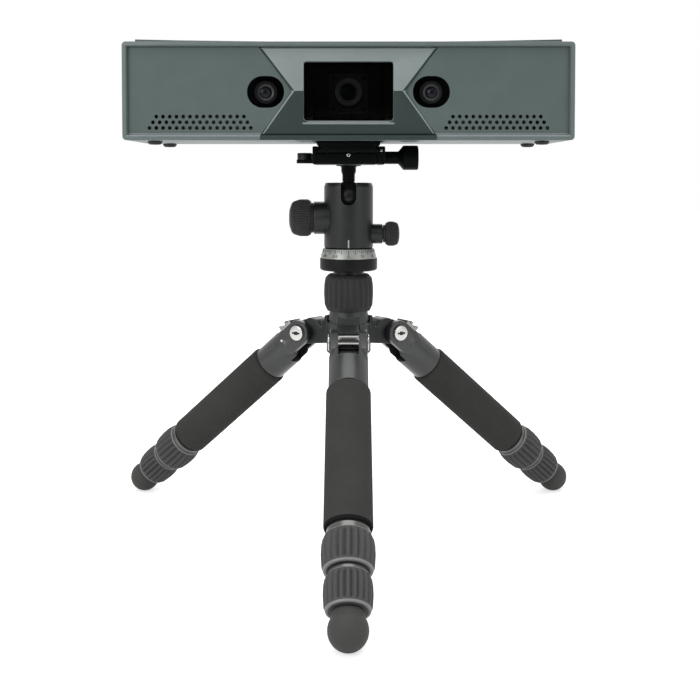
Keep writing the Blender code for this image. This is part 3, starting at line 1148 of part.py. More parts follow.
def build_leg_head(side, frame, pivot_cut):
    """Fork casting with the upper tube pressed into it, its pivot bolt and its angle latch."""
    tube_end = -(LOCK_1_TOP + LOCK_ENGAGEMENT)
    casting_end = -GRIP_TOP + GAP
    bore = UPPER_TUBE_RADIUS - TUBE_WALL
    profile = [
        (0.0, -CASTING_SHOULDER_TOP), (CASTING_SHOULDER_RADIUS, -CASTING_SHOULDER_TOP),
        (CASTING_RADIUS, -CASTING_SHOULDER_BOTTOM), (CASTING_RADIUS, casting_end),
        (UPPER_TUBE_RADIUS, casting_end), (UPPER_TUBE_RADIUS, tube_end), (bore, tube_end),
        (bore, -UPPER_BORE_TOP), (0.0, -UPPER_BORE_TOP),
    ]
    head = turned_part(side + "_leg_head", profile, GREY_METAL, frame)
    outline = arc(EAR_RADIUS, 0.0, 2 * QUARTER, 2 * OPENING_STEPS)
    outline += [
        (-EAR_RADIUS, -EAR_RUN), (-EAR_END_HALF, -EAR_END), (EAR_END_HALF, -EAR_END), (EAR_RADIUS, -EAR_RUN),
    ]
    mesh = prism_mesh(side + "_ears", [outline], -EAR_HALF_WIDTH, EAR_HALF_WIDTH, FACE_SIDE)
    ears = new_cutter(side + "_ears", mesh, frame)
    combine(head, ears, "UNION")
    high = EAR_RADIUS + OVERRUN
    size = (2 * FORK_HALF_GAP, 2 * (CASTING_RADIUS + OVERRUN), high + FORK_DEPTH)
    fork = box_mesh(side + "_fork_cut", size, (0.0, 0.0, (high - FORK_DEPTH) / 2))
    combine(head, new_cutter(side + "_fork_cut", fork, frame))
    combine(head, pivot_cut)

    face = EAR_HALF_WIDTH + GAP
    end = face + BOLT_HEAD_HEIGHT
    half = [(0.0, end), (BOLT_HEAD_RADIUS, end), (BOLT_HEAD_RADIUS, face), (BOLT_RADIUS, face)]
    profile = half + [(radius, -height) for radius, height in reversed(half)]
    across = (0.0, QUARTER, 0.0)
    turned_part(side + "_pivot_bolt", profile, BRIGHT_METAL, frame, rotation=across, steps=SMALL_STEPS)

    rib = LATCH_START + LATCH_RIB
    lower_rib = LATCH_END - LATCH_RIB
    outline = [
        (-LATCH_LOW, -LATCH_START), (-LATCH_HIGH, -LATCH_START), (-LATCH_HIGH, -rib),
        (-LATCH_VALLEY, -rib - LATCH_RIB_SLOPE), (-LATCH_VALLEY, -lower_rib + LATCH_RIB_SLOPE),
        (-LATCH_HIGH, -lower_rib), (-LATCH_HIGH, -LATCH_END), (-LATCH_LOW, -LATCH_END),
    ]
    half_width = FORK_HALF_GAP - GAP
    mesh = prism_mesh(side + "_latch", [outline], -half_width, half_width, FACE_SIDE)
    new_part(side + "_latch", mesh, BRIGHT_METAL, frame)


def ring_profile(outer, inner, top, bottom, edge=0.0):
    """A closed tube section, with its outer corners cut back by an edge."""
    if edge:
        corners = [(outer - edge, top), (outer, top - edge), (outer, bottom + edge), (outer - edge, bottom)]
    else:
        corners = [(outer, top), (outer, bottom)]
    return corners + [(inner, bottom), (inner, top)]


def collar_mesh(name, top, bottom, radius, upper_tube, lower_tube):
    """A fluted twist lock round the end of one tube, with a bore for the next."""
    step = -(top + LOCK_ENGAGEMENT + GAP)
    rows = barrel_rows(LEG_LOCK_SHARES, -top, -bottom, radius)
    slim = lower_tube + GAP
    wide = upper_tube + GAP
    rows += [(slim, -bottom, 0.0), (slim, step, 0.0), (wide, step, 0.0), (wide, -top, 0.0)]
    return fluted_mesh(name, rows, LOCK_FLUTES)


def build_leg_sections(side, frame, ground):
    """Foam grip, two twist locks, two sliding tubes and the rubber foot."""
    profile = ring_profile(GRIP_RADIUS, UPPER_TUBE_RADIUS + GAP, -GRIP_TOP, -GRIP_BOTTOM, GRIP_ROUND)
    turned_part(side + "_grip", profile, FOAM, frame, closed=True)
    mesh = collar_mesh(
        side + "_lock_1", LOCK_1_TOP, LOCK_1_BOTTOM, LOCK_1_RADIUS, UPPER_TUBE_RADIUS, MIDDLE_TUBE_RADIUS
    )
    new_part(side + "_lock_1", mesh, RUBBER, frame)
    mesh = collar_mesh(
        side + "_lock_2", LOCK_2_TOP, LOCK_2_BOTTOM, LOCK_2_RADIUS, MIDDLE_TUBE_RADIUS, TIP_TUBE_RADIUS
    )
    new_part(side + "_lock_2", mesh, RUBBER, frame)

    middle_end = -(LOCK_2_TOP + LOCK_ENGAGEMENT)
    profile = ring_profile(MIDDLE_TUBE_RADIUS, MIDDLE_TUBE_RADIUS - TUBE_WALL, -MIDDLE_TUBE_TOP, middle_end)
    turned_part(side + "_middle_tube", profile, GREY_METAL, frame, steps=TUBE_STEPS, closed=True)
    socket_floor = -(FOOT_REACH + FOOT_RADIUS - FOOT_WALL)
    profile = ring_profile(TIP_TUBE_RADIUS, TIP_TUBE_RADIUS - TUBE_WALL, -TIP_TUBE_TOP, socket_floor + GAP)
    turned_part(side + "_tip_tube", profile, GREY_METAL, frame, steps=TUBE_STEPS, closed=True)

    neck_top = -(LOCK_2_BOTTOM + 2 * GAP)
    socket = TIP_TUBE_RADIUS + GAP
    join = math.acos(FOOT_NECK_RADIUS / FOOT_RADIUS)
    bulb = arc(FOOT_RADIUS, join, -QUARTER, OPENING_STEPS + 1, (0.0, -FOOT_REACH))
    profile = [(0.0, socket_floor), (socket, socket_floor), (socket, neck_top), (FOOT_NECK_RADIUS, neck_top)]
    profile += bulb[:-1] + [(0.0, -FOOT_REACH - FOOT_RADIUS)]
    foot = turned_part(side + "_foot", profile, RUBBER, frame, steps=TUBE_STEPS)
    combine(foot, ground)


def main():
    """Build the whole object about its column axis."""
    axis = new_frame("column_axis", (0.0, COLUMN_Y, 0.0))
    ball_frame = new_frame("ball_centre", (0.0, 0.0, BALL_Z), parent=axis)
    scanner = new_frame("plate_slide", (0.0, 0.0, 0.0), parent=axis)

    build_sleeve(scanner)
    build_top_cover(scanner)
    build_front_panels(scanner)
    build_bezel(scanner)
    build_optics(scanner)
    build_rear(scanner)
    build_pads(scanner)
    build_plate(scanner)
    build_clamp(axis)
    build_ball(ball_frame)
    build_head(axis, ball_frame)
    build_column(axis)

    floor_size = (4 * FOOT_CIRCLE, 4 * FOOT_CIRCLE, FOOT_RADIUS)
    floor = box_mesh("ground_cut", floor_size, (0.0, 0.0, -FOOT_RADIUS / 2))
    ground = new_cutter("ground_cut", floor, None)
    hips = {}
    pivot_cuts = {}
    for side, azimuth in LEG_AZIMUTHS.items():
        place = (HIP_RADIUS * math.sin(azimuth), -HIP_RADIUS * math.cos(azimuth), HIP_Z)
        hips[side] = new_frame(side + "_hip", place, (-LEG_ANGLE, 0.0, azimuth), axis)
        reach = EAR_HALF_WIDTH + OVERRUN
        hole = rod_mesh(side + "_pivot_cut", BOLT_RADIUS + GAP, -reach, reach)
        pivot_cuts[side] = new_cutter(side + "_pivot_cut", hole, hips[side], rotation=(0.0, QUARTER, 0.0))
    build_hub(axis, pivot_cuts)
    for side, hip in hips.items():
        build_leg_head(side, hip, pivot_cuts[side])
        build_leg_sections(side, hip, ground)
    bpy.context.view_layer.update()


main()
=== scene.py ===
"""Looks of a structured-light scanner that stands on a ball head and a small tripod.

Every sub-assembly is a class with its sizes in millimetres. Pieces are modelled in millimetres about
their own axis, moved to their place in the frame, and stored in metres with the object at the origin.
"""

import json
import logging
import math
from dataclasses import dataclass, field
from enum import Enum
from functools import cache
from typing import Callable, Iterable, Sequence

import bmesh
import bpy
from mathutils import Matrix, Vector

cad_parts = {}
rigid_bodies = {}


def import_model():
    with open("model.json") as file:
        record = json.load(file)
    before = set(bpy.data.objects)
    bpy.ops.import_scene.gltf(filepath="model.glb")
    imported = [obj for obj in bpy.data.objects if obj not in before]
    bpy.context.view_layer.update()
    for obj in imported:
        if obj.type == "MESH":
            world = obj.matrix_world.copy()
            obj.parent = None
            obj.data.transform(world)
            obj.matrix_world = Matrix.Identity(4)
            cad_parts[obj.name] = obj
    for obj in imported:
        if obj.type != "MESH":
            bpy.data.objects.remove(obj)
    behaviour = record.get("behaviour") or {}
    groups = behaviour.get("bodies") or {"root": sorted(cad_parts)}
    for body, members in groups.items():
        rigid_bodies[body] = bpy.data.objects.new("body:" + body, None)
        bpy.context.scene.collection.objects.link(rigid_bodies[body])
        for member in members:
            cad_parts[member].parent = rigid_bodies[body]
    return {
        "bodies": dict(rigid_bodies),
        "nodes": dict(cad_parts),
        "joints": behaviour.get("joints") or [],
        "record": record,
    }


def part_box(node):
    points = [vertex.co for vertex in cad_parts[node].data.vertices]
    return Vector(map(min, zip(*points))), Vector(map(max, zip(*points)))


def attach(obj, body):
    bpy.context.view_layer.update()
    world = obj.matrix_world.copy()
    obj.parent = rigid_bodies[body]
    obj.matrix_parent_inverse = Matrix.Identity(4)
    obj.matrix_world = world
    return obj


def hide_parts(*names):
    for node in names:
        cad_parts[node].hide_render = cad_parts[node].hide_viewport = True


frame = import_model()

LOG = logging.getLogger("scanner")
MM = 0.001
TURN = 2.0 * math.pi
QUARTER = math.pi / 2.0
SIDES = ("front", "right", "left")

Point = Sequence[float]
Colour = tuple[float, float, float]

# Puts an outline drawn across and up onto a front, with its thickness towards the rear
FRONTAL = Matrix(((1, 0, 0, 0), (0, 0, 1, 0), (0, 1, 0, 0), (0, 0, 0, 1)))
# Puts an outline drawn along and up onto a side, with its thickness across
SIDEWAYS = Matrix(((0, 0, 1, 0), (1, 0, 0, 0), (0, 1, 0, 0), (0, 0, 0, 1)))
# Turn a piece's own Z axis to the front, to the rear and to the right
TO_FRONT = Matrix.Rotation(QUARTER, 4, "X")
TO_REAR = Matrix.Rotation(-QUARTER, 4, "X")
TO_RIGHT = Matrix.Rotation(QUARTER, 4, "Y")


# The frame: bodies, joints and their places


class Frame:
    """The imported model, with its joints by name."""

    def __init__(self, loaded: dict) -> None:
        self.nodes: dict[str, bpy.types.Object] = loaded["nodes"]
        self.joints: dict[str, dict] = {joint["name"]: joint for joint in loaded["joints"]}

    def pivot(self, joint: str) -> Vector:
        """Place of a joint in millimetres.

        Args:
            joint: Name of the joint.

        Returns:
            The joint's pivot point.
        """
        return Vector(self.joints[joint]["pos_m"]) / MM

    def axis(self, joint: str) -> Vector:
        """Unit axis of a joint.

        Args:
            joint: Name of the joint.

        Returns:
            The joint's direction.
        """
        return Vector(self.joints[joint]["axis"]).normalized()

    def middle(self, node: str) -> Vector:
        """Middle of a node's box in millimetres.

        Args:
            node: Name of the CAD node.

        Returns:
            The centre of its box at rest.
        """
        low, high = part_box(node)
        return (low + high) / 2.0 / MM

    def box(self, node: str) -> tuple[Vector, Vector]:
        """Corners of a node's box in millimetres.

        Args:
            node: Name of the CAD node.

        Returns:
            Its lowest and its highest corner at rest.
        """
        low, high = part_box(node)
        return low / MM, high / MM


def upright(across: float, along: float, up: float) -> Matrix:
    """Place of a piece whose own axis stays vertical."""
    return Matrix.Translation((across, along, up))


def aimed(origin: Point, direction: Point) -> Matrix:
    """Place of a piece whose own Z axis points along a direction, with its Y axis as upright as can be.

    Args:
        origin: Where the piece's own origin goes.
        direction: Where its Z axis points.

    Returns:
        The matrix that puts the piece there.
    """
    up = Vector(direction).normalized()
    across = Vector((0.0, 0.0, 1.0)).cross(up).normalized()
    along = up.cross(across)
    turned = Matrix((across, along, up)).transposed().to_4x4()
    return Matrix.Translation(origin) @ turned


# Finishes


class Wiring:
    """Short ways to add and join shader nodes in one tree."""

    def __init__(self, tree: bpy.types.NodeTree) -> None:
        """Work on one node tree."""
        self.tree = tree

    def add(self, kind: str, **values: object) -> bpy.types.Node:
        """Add a node.

        Args:
            kind: Blender's name of the node type.
            values: Properties of the node, or what goes into its inputs.

        Returns:
            The node.
        """
        return self.tune(self.tree.nodes.new(kind), **values)

    def tune(self, node: bpy.types.Node, **values: object) -> bpy.types.Node:
        """Set up a node.

        Args:
            node: The node.
            values: Properties of the node, or what goes into its inputs.

        Returns:
            The node.
        """
        for name, value in values.items():
            if hasattr(node, name):
                setattr(node, name, value)
            else:
                self.put(value, node.inputs[name.replace("_", " ")])
        return node

    def put(self, value: object, target: bpy.types.NodeSocket) -> None:
        """Join an output to an input, or give the input a value.

        Args:
            value: A socket or a value.
            target: The input.
        """
        if isinstance(value, bpy.types.NodeSocket):
            self.tree.links.new(value, target)
        else:
            target.default_value = value

    def math(self, operation: str, first: object, second: object = 0.0) -> bpy.types.NodeSocket:
        """Add a Math node.

        Args:
            operation: Its operation, such as MULTIPLY.
            first: A socket or a number.
            second: A socket or a number.

        Returns:
            The node's output.
        """
        node = self.add("ShaderNodeMath", operation=operation)
        self.put(first, node.inputs[0])
        self.put(second, node.inputs[1])
        return node.outputs[0]

    def stretch(self, value: bpy.types.NodeSocket, low: float, high: float) -> bpy.types.NodeSocket:
        """Clamp and spread a value from low..high to 0..1.

        Args:
            value: What is spread.
            low: The value that becomes 0.
            high: The value that becomes 1.

        Returns:
            The spread value.
        """
        node = self.add("ShaderNodeMapRange", From_Min=low, From_Max=high, Value=value)
        return node.outputs["Result"]

    def mix(self, factor: bpy.types.NodeSocket, first: object, second: object) -> bpy.types.NodeSocket:
        """Mix two colours.

        Args:
            factor: How much of the second colour shows.
            first: A colour or a socket.
            second: A colour or a socket.

        Returns:
            The mixed colour.
        """
        node = self.add("ShaderNodeMix", data_type="RGBA", Factor=factor)
        for socket, value in zip((node.inputs[6], node.inputs[7]), (first, second)):
            self.put(value if isinstance(value, bpy.types.NodeSocket) else (*value, 1.0), socket)
        return node.outputs[2]

    def seen(self) -> bpy.types.NodeSocket:
        """Tell rays that look from rays that light.

        Returns:
            1 for a ray from the camera, off gloss or through glass, and otherwise 0.
        """
        path = self.add("ShaderNodeLightPath")
        looking = self.math("MAXIMUM", path.outputs["Is Camera Ray"], path.outputs["Is Glossy Ray"])
        return self.math("MAXIMUM", looking, path.outputs["Is Transmission Ray"])


class Effects:
    """Node groups that several finishes share."""

    @staticmethod
    def _group(
        name: str, inputs: dict[str, float], outputs: Iterable[str]
    ) -> tuple[bpy.types.NodeTree, Wiring]:
        """Start a group with named sockets.

        Args:
            name: Name of the group.
            inputs: Names and default values of its inputs.
            outputs: Names of its outputs.

        Returns:
            The group's tree and its wiring.
        """
        tree = bpy.data.node_groups.new(name, "ShaderNodeTree")
        tree.interface.new_socket("Vector", in_out="INPUT", socket_type="NodeSocketVector")
        for key, value in inputs.items():
            socket = tree.interface.new_socket(key, in_out="INPUT", socket_type="NodeSocketFloat")
            socket.default_value = value
        for key in outputs:
            tree.interface.new_socket(key, in_out="OUTPUT", socket_type="NodeSocketFloat")
        return tree, Wiring(tree)

    @classmethod
    @cache
    def grain(cls) -> bpy.types.NodeTree:
        """Fine moulded or sprayed grain.

        Returns:
            A group that puts out a height, and a tone for the colour and the gloss.
        """
        tree, wires = cls._group("fine_grain", {"Scale": 900.0, "Stretch": 1.0}, ("Height", "Tone"))
        given = wires.add("NodeGroupInput").outputs
        axes = wires.add("ShaderNodeCombineXYZ", X=1.0, Y=1.0, Z=given["Stretch"])
        drawn = wires.add("ShaderNodeVectorMath", operation="MULTIPLY")
        wires.put(given["Vector"], drawn.inputs[0])
        wires.put(axes.outputs[0], drawn.inputs[1])
        where = drawn.outputs[0]
        fine = wires.add("ShaderNodeTexNoise", Detail=3.0, Roughness=0.55, Vector=where, Scale=given["Scale"])
        coarser = wires.math("MULTIPLY", given["Scale"], 0.06)
        broad = wires.add("ShaderNodeTexNoise", Detail=2.0, Vector=where, Scale=coarser)
        near = wires.math("MULTIPLY", fine.outputs[0], 0.4)
        both = wires.math("ADD", near, wires.math("MULTIPLY", broad.outputs[0], 0.6))
        wires.add("NodeGroupOutput", Height=fine.outputs[0], Tone=wires.stretch(both, 0.3, 0.7))
        return tree

    @classmethod
    @cache
    def wear(cls) -> bpy.types.NodeTree:
        """Edges that have rubbed bright.

        Returns:
            A group that puts out a mask of the edges, broken up by noise.
        """
        tree, wires = cls._group("edge_wear", {"Radius": 0.0006, "Amount": 0.5}, ("Mask",))
        given = wires.add("NodeGroupInput").outputs
        rounded = wires.add("ShaderNodeBevel", samples=4, Radius=given["Radius"])
        turned = wires.add("ShaderNodeVectorMath", operation="DOT_PRODUCT")
        wires.put(rounded.outputs[0], turned.inputs[0])
        wires.put(wires.add("ShaderNodeNewGeometry").outputs["Normal"], turned.inputs[1])
        edge = wires.stretch(wires.math("SUBTRACT", 1.0, turned.outputs["Value"]), 0.01, 0.14)
        patchy = wires.add("ShaderNodeTexNoise", Scale=260.0, Detail=4.0, Vector=given["Vector"])
        broken = wires.stretch(patchy.outputs[0], 0.35, 0.62)
        mask = wires.math("MULTIPLY", wires.math("MULTIPLY", edge, broken), given["Amount"])
        wires.add("NodeGroupOutput", Mask=mask)
        return tree

    @classmethod
    @cache
    def smudge(cls) -> bpy.types.NodeTree:
        """Faint handling marks.

        Returns:
            A group that puts out broad patches, which change the gloss.
        """
        tree, wires = cls._group("handling_marks", {"Scale": 22.0, "Amount": 0.06}, ("Gloss",))
        given = wires.add("NodeGroupInput").outputs
        cloud = wires.add(
            "ShaderNodeTexNoise", Detail=5.0, Roughness=0.6, Distortion=0.4, Vector=given["Vector"],
            Scale=given["Scale"],
        )
        centred = wires.math("SUBTRACT", wires.stretch(cloud.outputs[0], 0.3, 0.7), 0.5)
        wires.add("NodeGroupOutput", Gloss=wires.math("MULTIPLY", centred, given["Amount"]))
        return tree


@dataclass(frozen=True)
class Finish:
    """A surface finish that a Principled material shows.

    The colour is linear. Grain lengths are in metres, as object coordinates are.
    """

    name: str
    slot: str
    colour: Colour
    roughness: float
    metallic: float = 0.0
    specular: float = 0.5
    coat: float = 0.0
    spread: float = 0.10
    grain_scale: float = 900.0
    grain_stretch: float = 1.0
    grain_depth: float = 0.00002
    gloss_spread: float = 0.06
    smudge: float = 0.05
    wear: float = 0.0
    wear_colour: Colour = (0.30, 0.31, 0.31)
    wear_radius: float = 0.0005
    edge_radius: float = 0.0

    def material(self) -> bpy.types.Material:
        """Make the finish's material, the first time that it is asked for.

        Returns:
            The material.
        """
        found = bpy.data.materials.get(self.name)
        if found:
            return found
        made = bpy.data.materials.new(self.name)
        made.use_nodes = True
        wires = Wiring(made.node_tree)
        shader = wires.tune(
            made.node_tree.nodes["Principled BSDF"], Metallic=self.metallic, Specular_IOR_Level=self.specular,
            Coat_Weight=self.coat, Coat_Roughness=0.25,
        )
        where = wires.add("ShaderNodeTexCoord").outputs["Object"]
        self.surface(wires, shader, where)
        made.diffuse_color = (*self.colour, 1.0)
        return made

    def surface(self, wires: Wiring, shader: bpy.types.Node, where: bpy.types.NodeSocket) -> None:
        """Join the grain, marks and wear to the shader.

        Args:
            wires: Wiring of the material's tree.
            shader: The Principled shader.
            where: Object coordinates.
        """
        grain = wires.add(
            "ShaderNodeGroup", node_tree=Effects.grain(), Scale=self.grain_scale, Stretch=self.grain_stretch,
            Vector=where,
        )
        marks = wires.add("ShaderNodeGroup", node_tree=Effects.smudge(), Amount=self.smudge, Vector=where)
        dark = tuple(c * (1.0 - self.spread) for c in self.colour)
        light = tuple(c * (1.0 + self.spread) for c in self.colour)
        colour = wires.mix(grain.outputs["Tone"], dark, light)
        gloss = wires.math("MULTIPLY", wires.math("SUBTRACT", grain.outputs["Tone"], 0.5), self.gloss_spread)
        gloss = wires.math("ADD", wires.math("ADD", gloss, self.roughness), marks.outputs["Gloss"])
        if self.wear > 0.0:
            worn = wires.add(
                "ShaderNodeGroup", node_tree=Effects.wear(), Radius=self.wear_radius, Amount=self.wear,
                Vector=where,
            )
            colour = wires.mix(worn.outputs["Mask"], colour, self.wear_colour)
        wires.tune(shader, Base_Color=colour, Roughness=gloss)
        self.relief(wires, shader, grain.outputs["Height"], where)

    def relief(
        self,
        wires: Wiring,
        shader: bpy.types.Node,
        height: bpy.types.NodeSocket,
        where: bpy.types.NodeSocket,
    ) -> None:
        """Join the grain's height to the shader's normal.

        Args:
            wires: Wiring of the material's tree.
            shader: The Principled shader.
            height: The grain's height, 0 to 1.
            where: Object coordinates.
        """
        bump = wires.add("ShaderNodeBump", Distance=self.grain_depth, Height=height)
        if self.edge_radius > 0.0:
            rounded = wires.add("ShaderNodeBevel", samples=4, Radius=self.edge_radius)
            wires.tune(bump, Normal=rounded.outputs[0])
        wires.tune(shader, Normal=bump.outputs[0])


@dataclass(frozen=True)
class FoamFinish(Finish):
    """Closed-cell foam: a matt skin pitted by small cells."""

    cell_scale: float = 700.0

    def relief(
        self,
        wires: Wiring,
        shader: bpy.types.Node,
        height: bpy.types.NodeSocket,
        where: bpy.types.NodeSocket,
    ) -> None:
        """Add the cells to the grain's height.

        Args:
            wires: Wiring of the material's tree.
            shader: The Principled shader.
            height: The grain's height, 0 to 1.
            where: Object coordinates.
        """
        cells = wires.add("ShaderNodeTexVoronoi", Scale=self.cell_scale, Vector=where)
        pits = wires.math("MULTIPLY", wires.stretch(cells.outputs["Distance"], 0.1, 0.6), -0.6)
        pitted = wires.math("ADD", pits, height)
        bump = wires.add("ShaderNodeBump", Distance=self.grain_depth, Height=pitted)
        wires.tune(shader, Normal=bump.outputs[0])


@dataclass(frozen=True)
class GlassFinish(Finish):
    """Clear or smoked glass that lets what is behind it show."""

    transmission: float = 1.0
    ior: float = 1.45

    def material(self) -> bpy.types.Material:
        """Make the glass's material, the first time that it is asked for.

        Returns:
            The material.
        """
        made = super().material()
        shader = made.node_tree.nodes["Principled BSDF"]
        Wiring(made.node_tree).tune(shader, Transmission_Weight=self.transmission, IOR=self.ior)
        return made


@dataclass(frozen=True)
class Enamel(Finish):
    """Sprayed enamel with a fine even grain, worn at its edges."""

    specular: float = 0.4
    spread: float = 0.05
    grain_scale: float = 1600.0
    grain_depth: float = 0.000015
    wear: float = 0.2
    edge_radius: float = 0.0004


@dataclass(frozen=True)
class Anodising(Finish):
    """Dyed anodising on turned or milled aluminium."""

    spread: float = 0.15
    grain_scale: float = 1400.0
    grain_depth: float = 0.00001


@dataclass(frozen=True)
class Casting(Finish):
    """A satin coat on a casting, which keeps a little of the mould's grain."""

    grain_scale: float = 1100.0
    grain_depth: float = 0.00003


@dataclass(frozen=True)
class BareMetal(Finish):
    """Turned, milled or plated metal without a coat."""

    metallic: float = 1.0
    spread: float = 0.08
    grain_scale: float = 1500.0
    grain_depth: float = 0.00001


@dataclass(frozen=True)
class Rubber(Finish):
    """Moulded rubber, marked by hands."""

    specular: float = 0.3
    grain_scale: float = 1500.0
    grain_depth: float = 0.00003
    smudge: float = 0.08


@dataclass(frozen=True)
class LensMetal(Finish):
    """Blackened metal of the lens barrels and their rings."""

    spread: float = 0.06
    grain_scale: float = 1400.0
    grain_depth: float = 0.000008


@dataclass(frozen=True)
class Ink(Finish):
    """Ink of the marks and figures."""

    spread: float = 0.05
    grain_depth: float = 0.000004


SLATE = Enamel("slate_enamel", "slate_paint", (0.105, 0.135, 0.130), 0.42, wear=0.25)
SLATE_DEEP = Enamel("slate_enamel_cover", "slate_dark", (0.060, 0.080, 0.077), 0.45)
# Panel enamel; on the sleeve's mouth its downward faces take it as painted shade
SLATE_PANEL_AND_SHADE = Enamel("slate_enamel_panel_and_painted_shade", "slate_paint", (0.079, 0.107, 0.102), 0.44, specular=0.32)
# A lighter copy of the slate enamel: painted light on the bezel's upper facets
SLATE_PAINTED_LIGHT = Enamel("slate_enamel_bezel_painted_light", "slate_paint", (0.200, 0.238, 0.235), 0.38)
# A darker copy of the slate enamel: painted shade on faces that look down and on the lip below the bezel
SLATE_SHADE = Enamel("slate_enamel_painted_shade", "slate_dark", (0.022, 0.036, 0.034), 0.50, specular=0.25)
# A lighter copy of the slate enamel: painted highlight on the sleeve's lower lip
SLATE_LIP_HIGHLIGHT = Enamel("slate_enamel_lower_lip_painted_highlight", "slate_paint", (0.240, 0.270, 0.290), 0.38, wear=0.0)
# A lighter copy of the slate enamel: painted highlight on the sill, the bezel's upward faces below the window
# and the panels' lower edges
SLATE_PAINTED_HIGHLIGHT = Enamel("slate_enamel_painted_highlight", "slate_paint", (0.190, 0.212, 0.220), 0.36, wear=0.0)
WINDOW_GLASS = GlassFinish(
    "smoked_window_glass", "black_glass", (0.20, 0.20, 0.20), 0.04, specular=0.10, spread=0.02,
    grain_depth=0.000001, gloss_spread=0.01, smudge=0.02, transmission=1.0, ior=1.08,
)
LENS_BLACK = LensMetal(
    "black_lens_metal", "lens_black", (0.006, 0.006, 0.007), 0.36, specular=0.08, spread=0.10,
    grain_depth=0.00001,
)
LENS_RING = LensMetal("satin_lens_ring", "lens_black", (0.013, 0.015, 0.016), 0.42, metallic=0.2)
RING_SATIN = LensMetal("projector_ring_anodising", "lens_black", (0.11, 0.12, 0.12), 0.45, metallic=0.2)
COATED_LENS = Finish(
    "coated_lens_element", "lens_black", (0.004, 0.005, 0.008), 0.05, specular=0.12, coat=0.05, spread=0.02,
    grain_depth=0.000001, gloss_spread=0.0, smudge=0.02,
)
BOARD = Finish(
    "circuit_board_mask", "circuit_board", (0.01, 0.09, 0.04), 0.45, spread=0.15, grain_scale=500.0
)
# Black anodising, also used as painted shade on the hub's flanks, the bolt's recesses and washer rings, and
# the latch's valley
BLACK_ANODISED_AND_SHADE = Anodising(
    "black_anodised_aluminium_and_painted_shade", "black_anodised", (0.012, 0.013, 0.013), 0.36, metallic=0.6, wear=0.45
)
CLAMP_BLACK = Anodising(
    "clamp_black_anodising", "black_anodised", (0.0022, 0.0028, 0.0027), 0.42, specular=0.04, wear=0.12
)
HEAD_ANODISED = Anodising(
    "head_dark_anodising", "grey_anodised", (0.021, 0.023, 0.022), 0.40, metallic=0.7, spread=0.10,
    grain_scale=1800.0, wear=0.3,
)
GREY_ANODISED = Anodising(
    "grey_anodised_aluminium", "grey_anodised", (0.048, 0.051, 0.049), 0.40, metallic=0.75, spread=0.10,
    grain_scale=1800.0, wear=0.4,
)
PAN_ANODISED = Anodising(
    "pan_base_anodising", "grey_anodised", (0.006, 0.006, 0.006), 0.45, specular=0.14, metallic=0.1,
    spread=0.20, grain_scale=1000.0, grain_depth=0.00002, wear=0.3,
)
HUB_CASTING = Casting(
    "hub_satin_casting", "black_anodised", (0.034, 0.036, 0.035), 0.42, metallic=0.45, spread=0.15, wear=0.5
)
LEG_CASTING = Casting(
    "sprayed_leg_casting", "grey_anodised", (0.051, 0.053, 0.052), 0.32, metallic=0.6, spread=0.12, wear=0.45
)
STEEL = BareMetal("bright_turned_steel", "bright_steel", (0.52, 0.52, 0.50), 0.24, grain_depth=0.000006)
LATCH_STEEL = BareMetal(
    "latch_dull_steel", "bright_steel", (0.26, 0.26, 0.25), 0.36, spread=0.10, wear=0.3,
    wear_colour=(0.5, 0.5, 0.5),
)
ALUMINIUM = BareMetal(
    "raw_milled_aluminium", "raw_aluminium", (0.42, 0.43, 0.44), 0.38, grain_scale=500.0, grain_stretch=14.0
)
SCALE_SILVER = BareMetal(
    "silver_scale_ring", "raw_aluminium", (0.27, 0.28, 0.26), 0.38, metallic=0.6, grain_scale=900.0,
    grain_depth=0.000008,
)
CONTACT_GOLD = BareMetal(
    "plated_contact", "bright_steel", (0.60, 0.45, 0.20), 0.28, spread=0.05, grain_scale=900.0,
    grain_depth=0.000002,
)
NECK_RING = BareMetal("twist_lock_neck", "black_rubber", (0.11, 0.11, 0.105), 0.28, metallic=0.9)
BALL_POLISH = Finish(
    "dark_polished_ball", "black_anodised", (0.010, 0.011, 0.010), 0.28, specular=0.3, metallic=0.2,
    spread=0.05, grain_scale=1200.0, grain_depth=0.000004,
)
RUBBER = Rubber("ribbed_grip_rubber", "black_rubber", (0.019, 0.019, 0.020), 0.60, specular=0.25)
COLUMN_RUBBER = Rubber("column_lock_rubber", "black_rubber", (0.024, 0.024, 0.024), 0.60, specular=0.22)
LOCK_RUBBER = Rubber("twist_lock_rubber", "black_rubber", (0.052, 0.052, 0.052), 0.60)
FOOT_RUBBER = Rubber("foot_rubber", "black_rubber", (0.045, 0.045, 0.043), 0.70, grain_scale=1200.0)
# Painted highlight on the twist locks' rims
LOCK_RIM_HIGHLIGHT = Rubber(
    "twist_lock_rim_painted_highlight", "black_rubber", (0.19, 0.19, 0.19), 0.50, specular=0.4, spread=0.08,
    grain_depth=0.00002, smudge=0.05,
)
FOAM = FoamFinish(
    "foam_grip", "foam", (0.040, 0.040, 0.038), 0.92, specular=0.15, spread=0.14, grain_scale=700.0,
    grain_depth=0.00016,
)
# Painted shade on the foam's lower edge and on the lock necks under it
FOAM_SHADE = Finish(
    "near_black_painted_shade", "foam", (0.010, 0.010, 0.010), 0.95, specular=0.1, spread=0.14, grain_scale=700.0,
    grain_depth=0.00010,
)
MARK_DARK = Ink("scale_mark_ink", "lens_black", (0.020, 0.020, 0.020), 0.6)
MARK_WHITE = Ink("index_mark_ink", "raw_aluminium", (0.36, 0.37, 0.36), 0.55)
LEVEL_GLASS = Finish(
    "spirit_level_fluid", "level_glass", (0.30, 0.42, 0.06), 0.08, coat=0.6, spread=0.04, grain_depth=0.000002
)
LEVEL_BUBBLE = Finish(
    "spirit_level_bubble", "level_glass", (0.55, 0.70, 0.25), 0.05, coat=0.8, spread=0.03,
    grain_depth=0.000001,
)


# Shaping


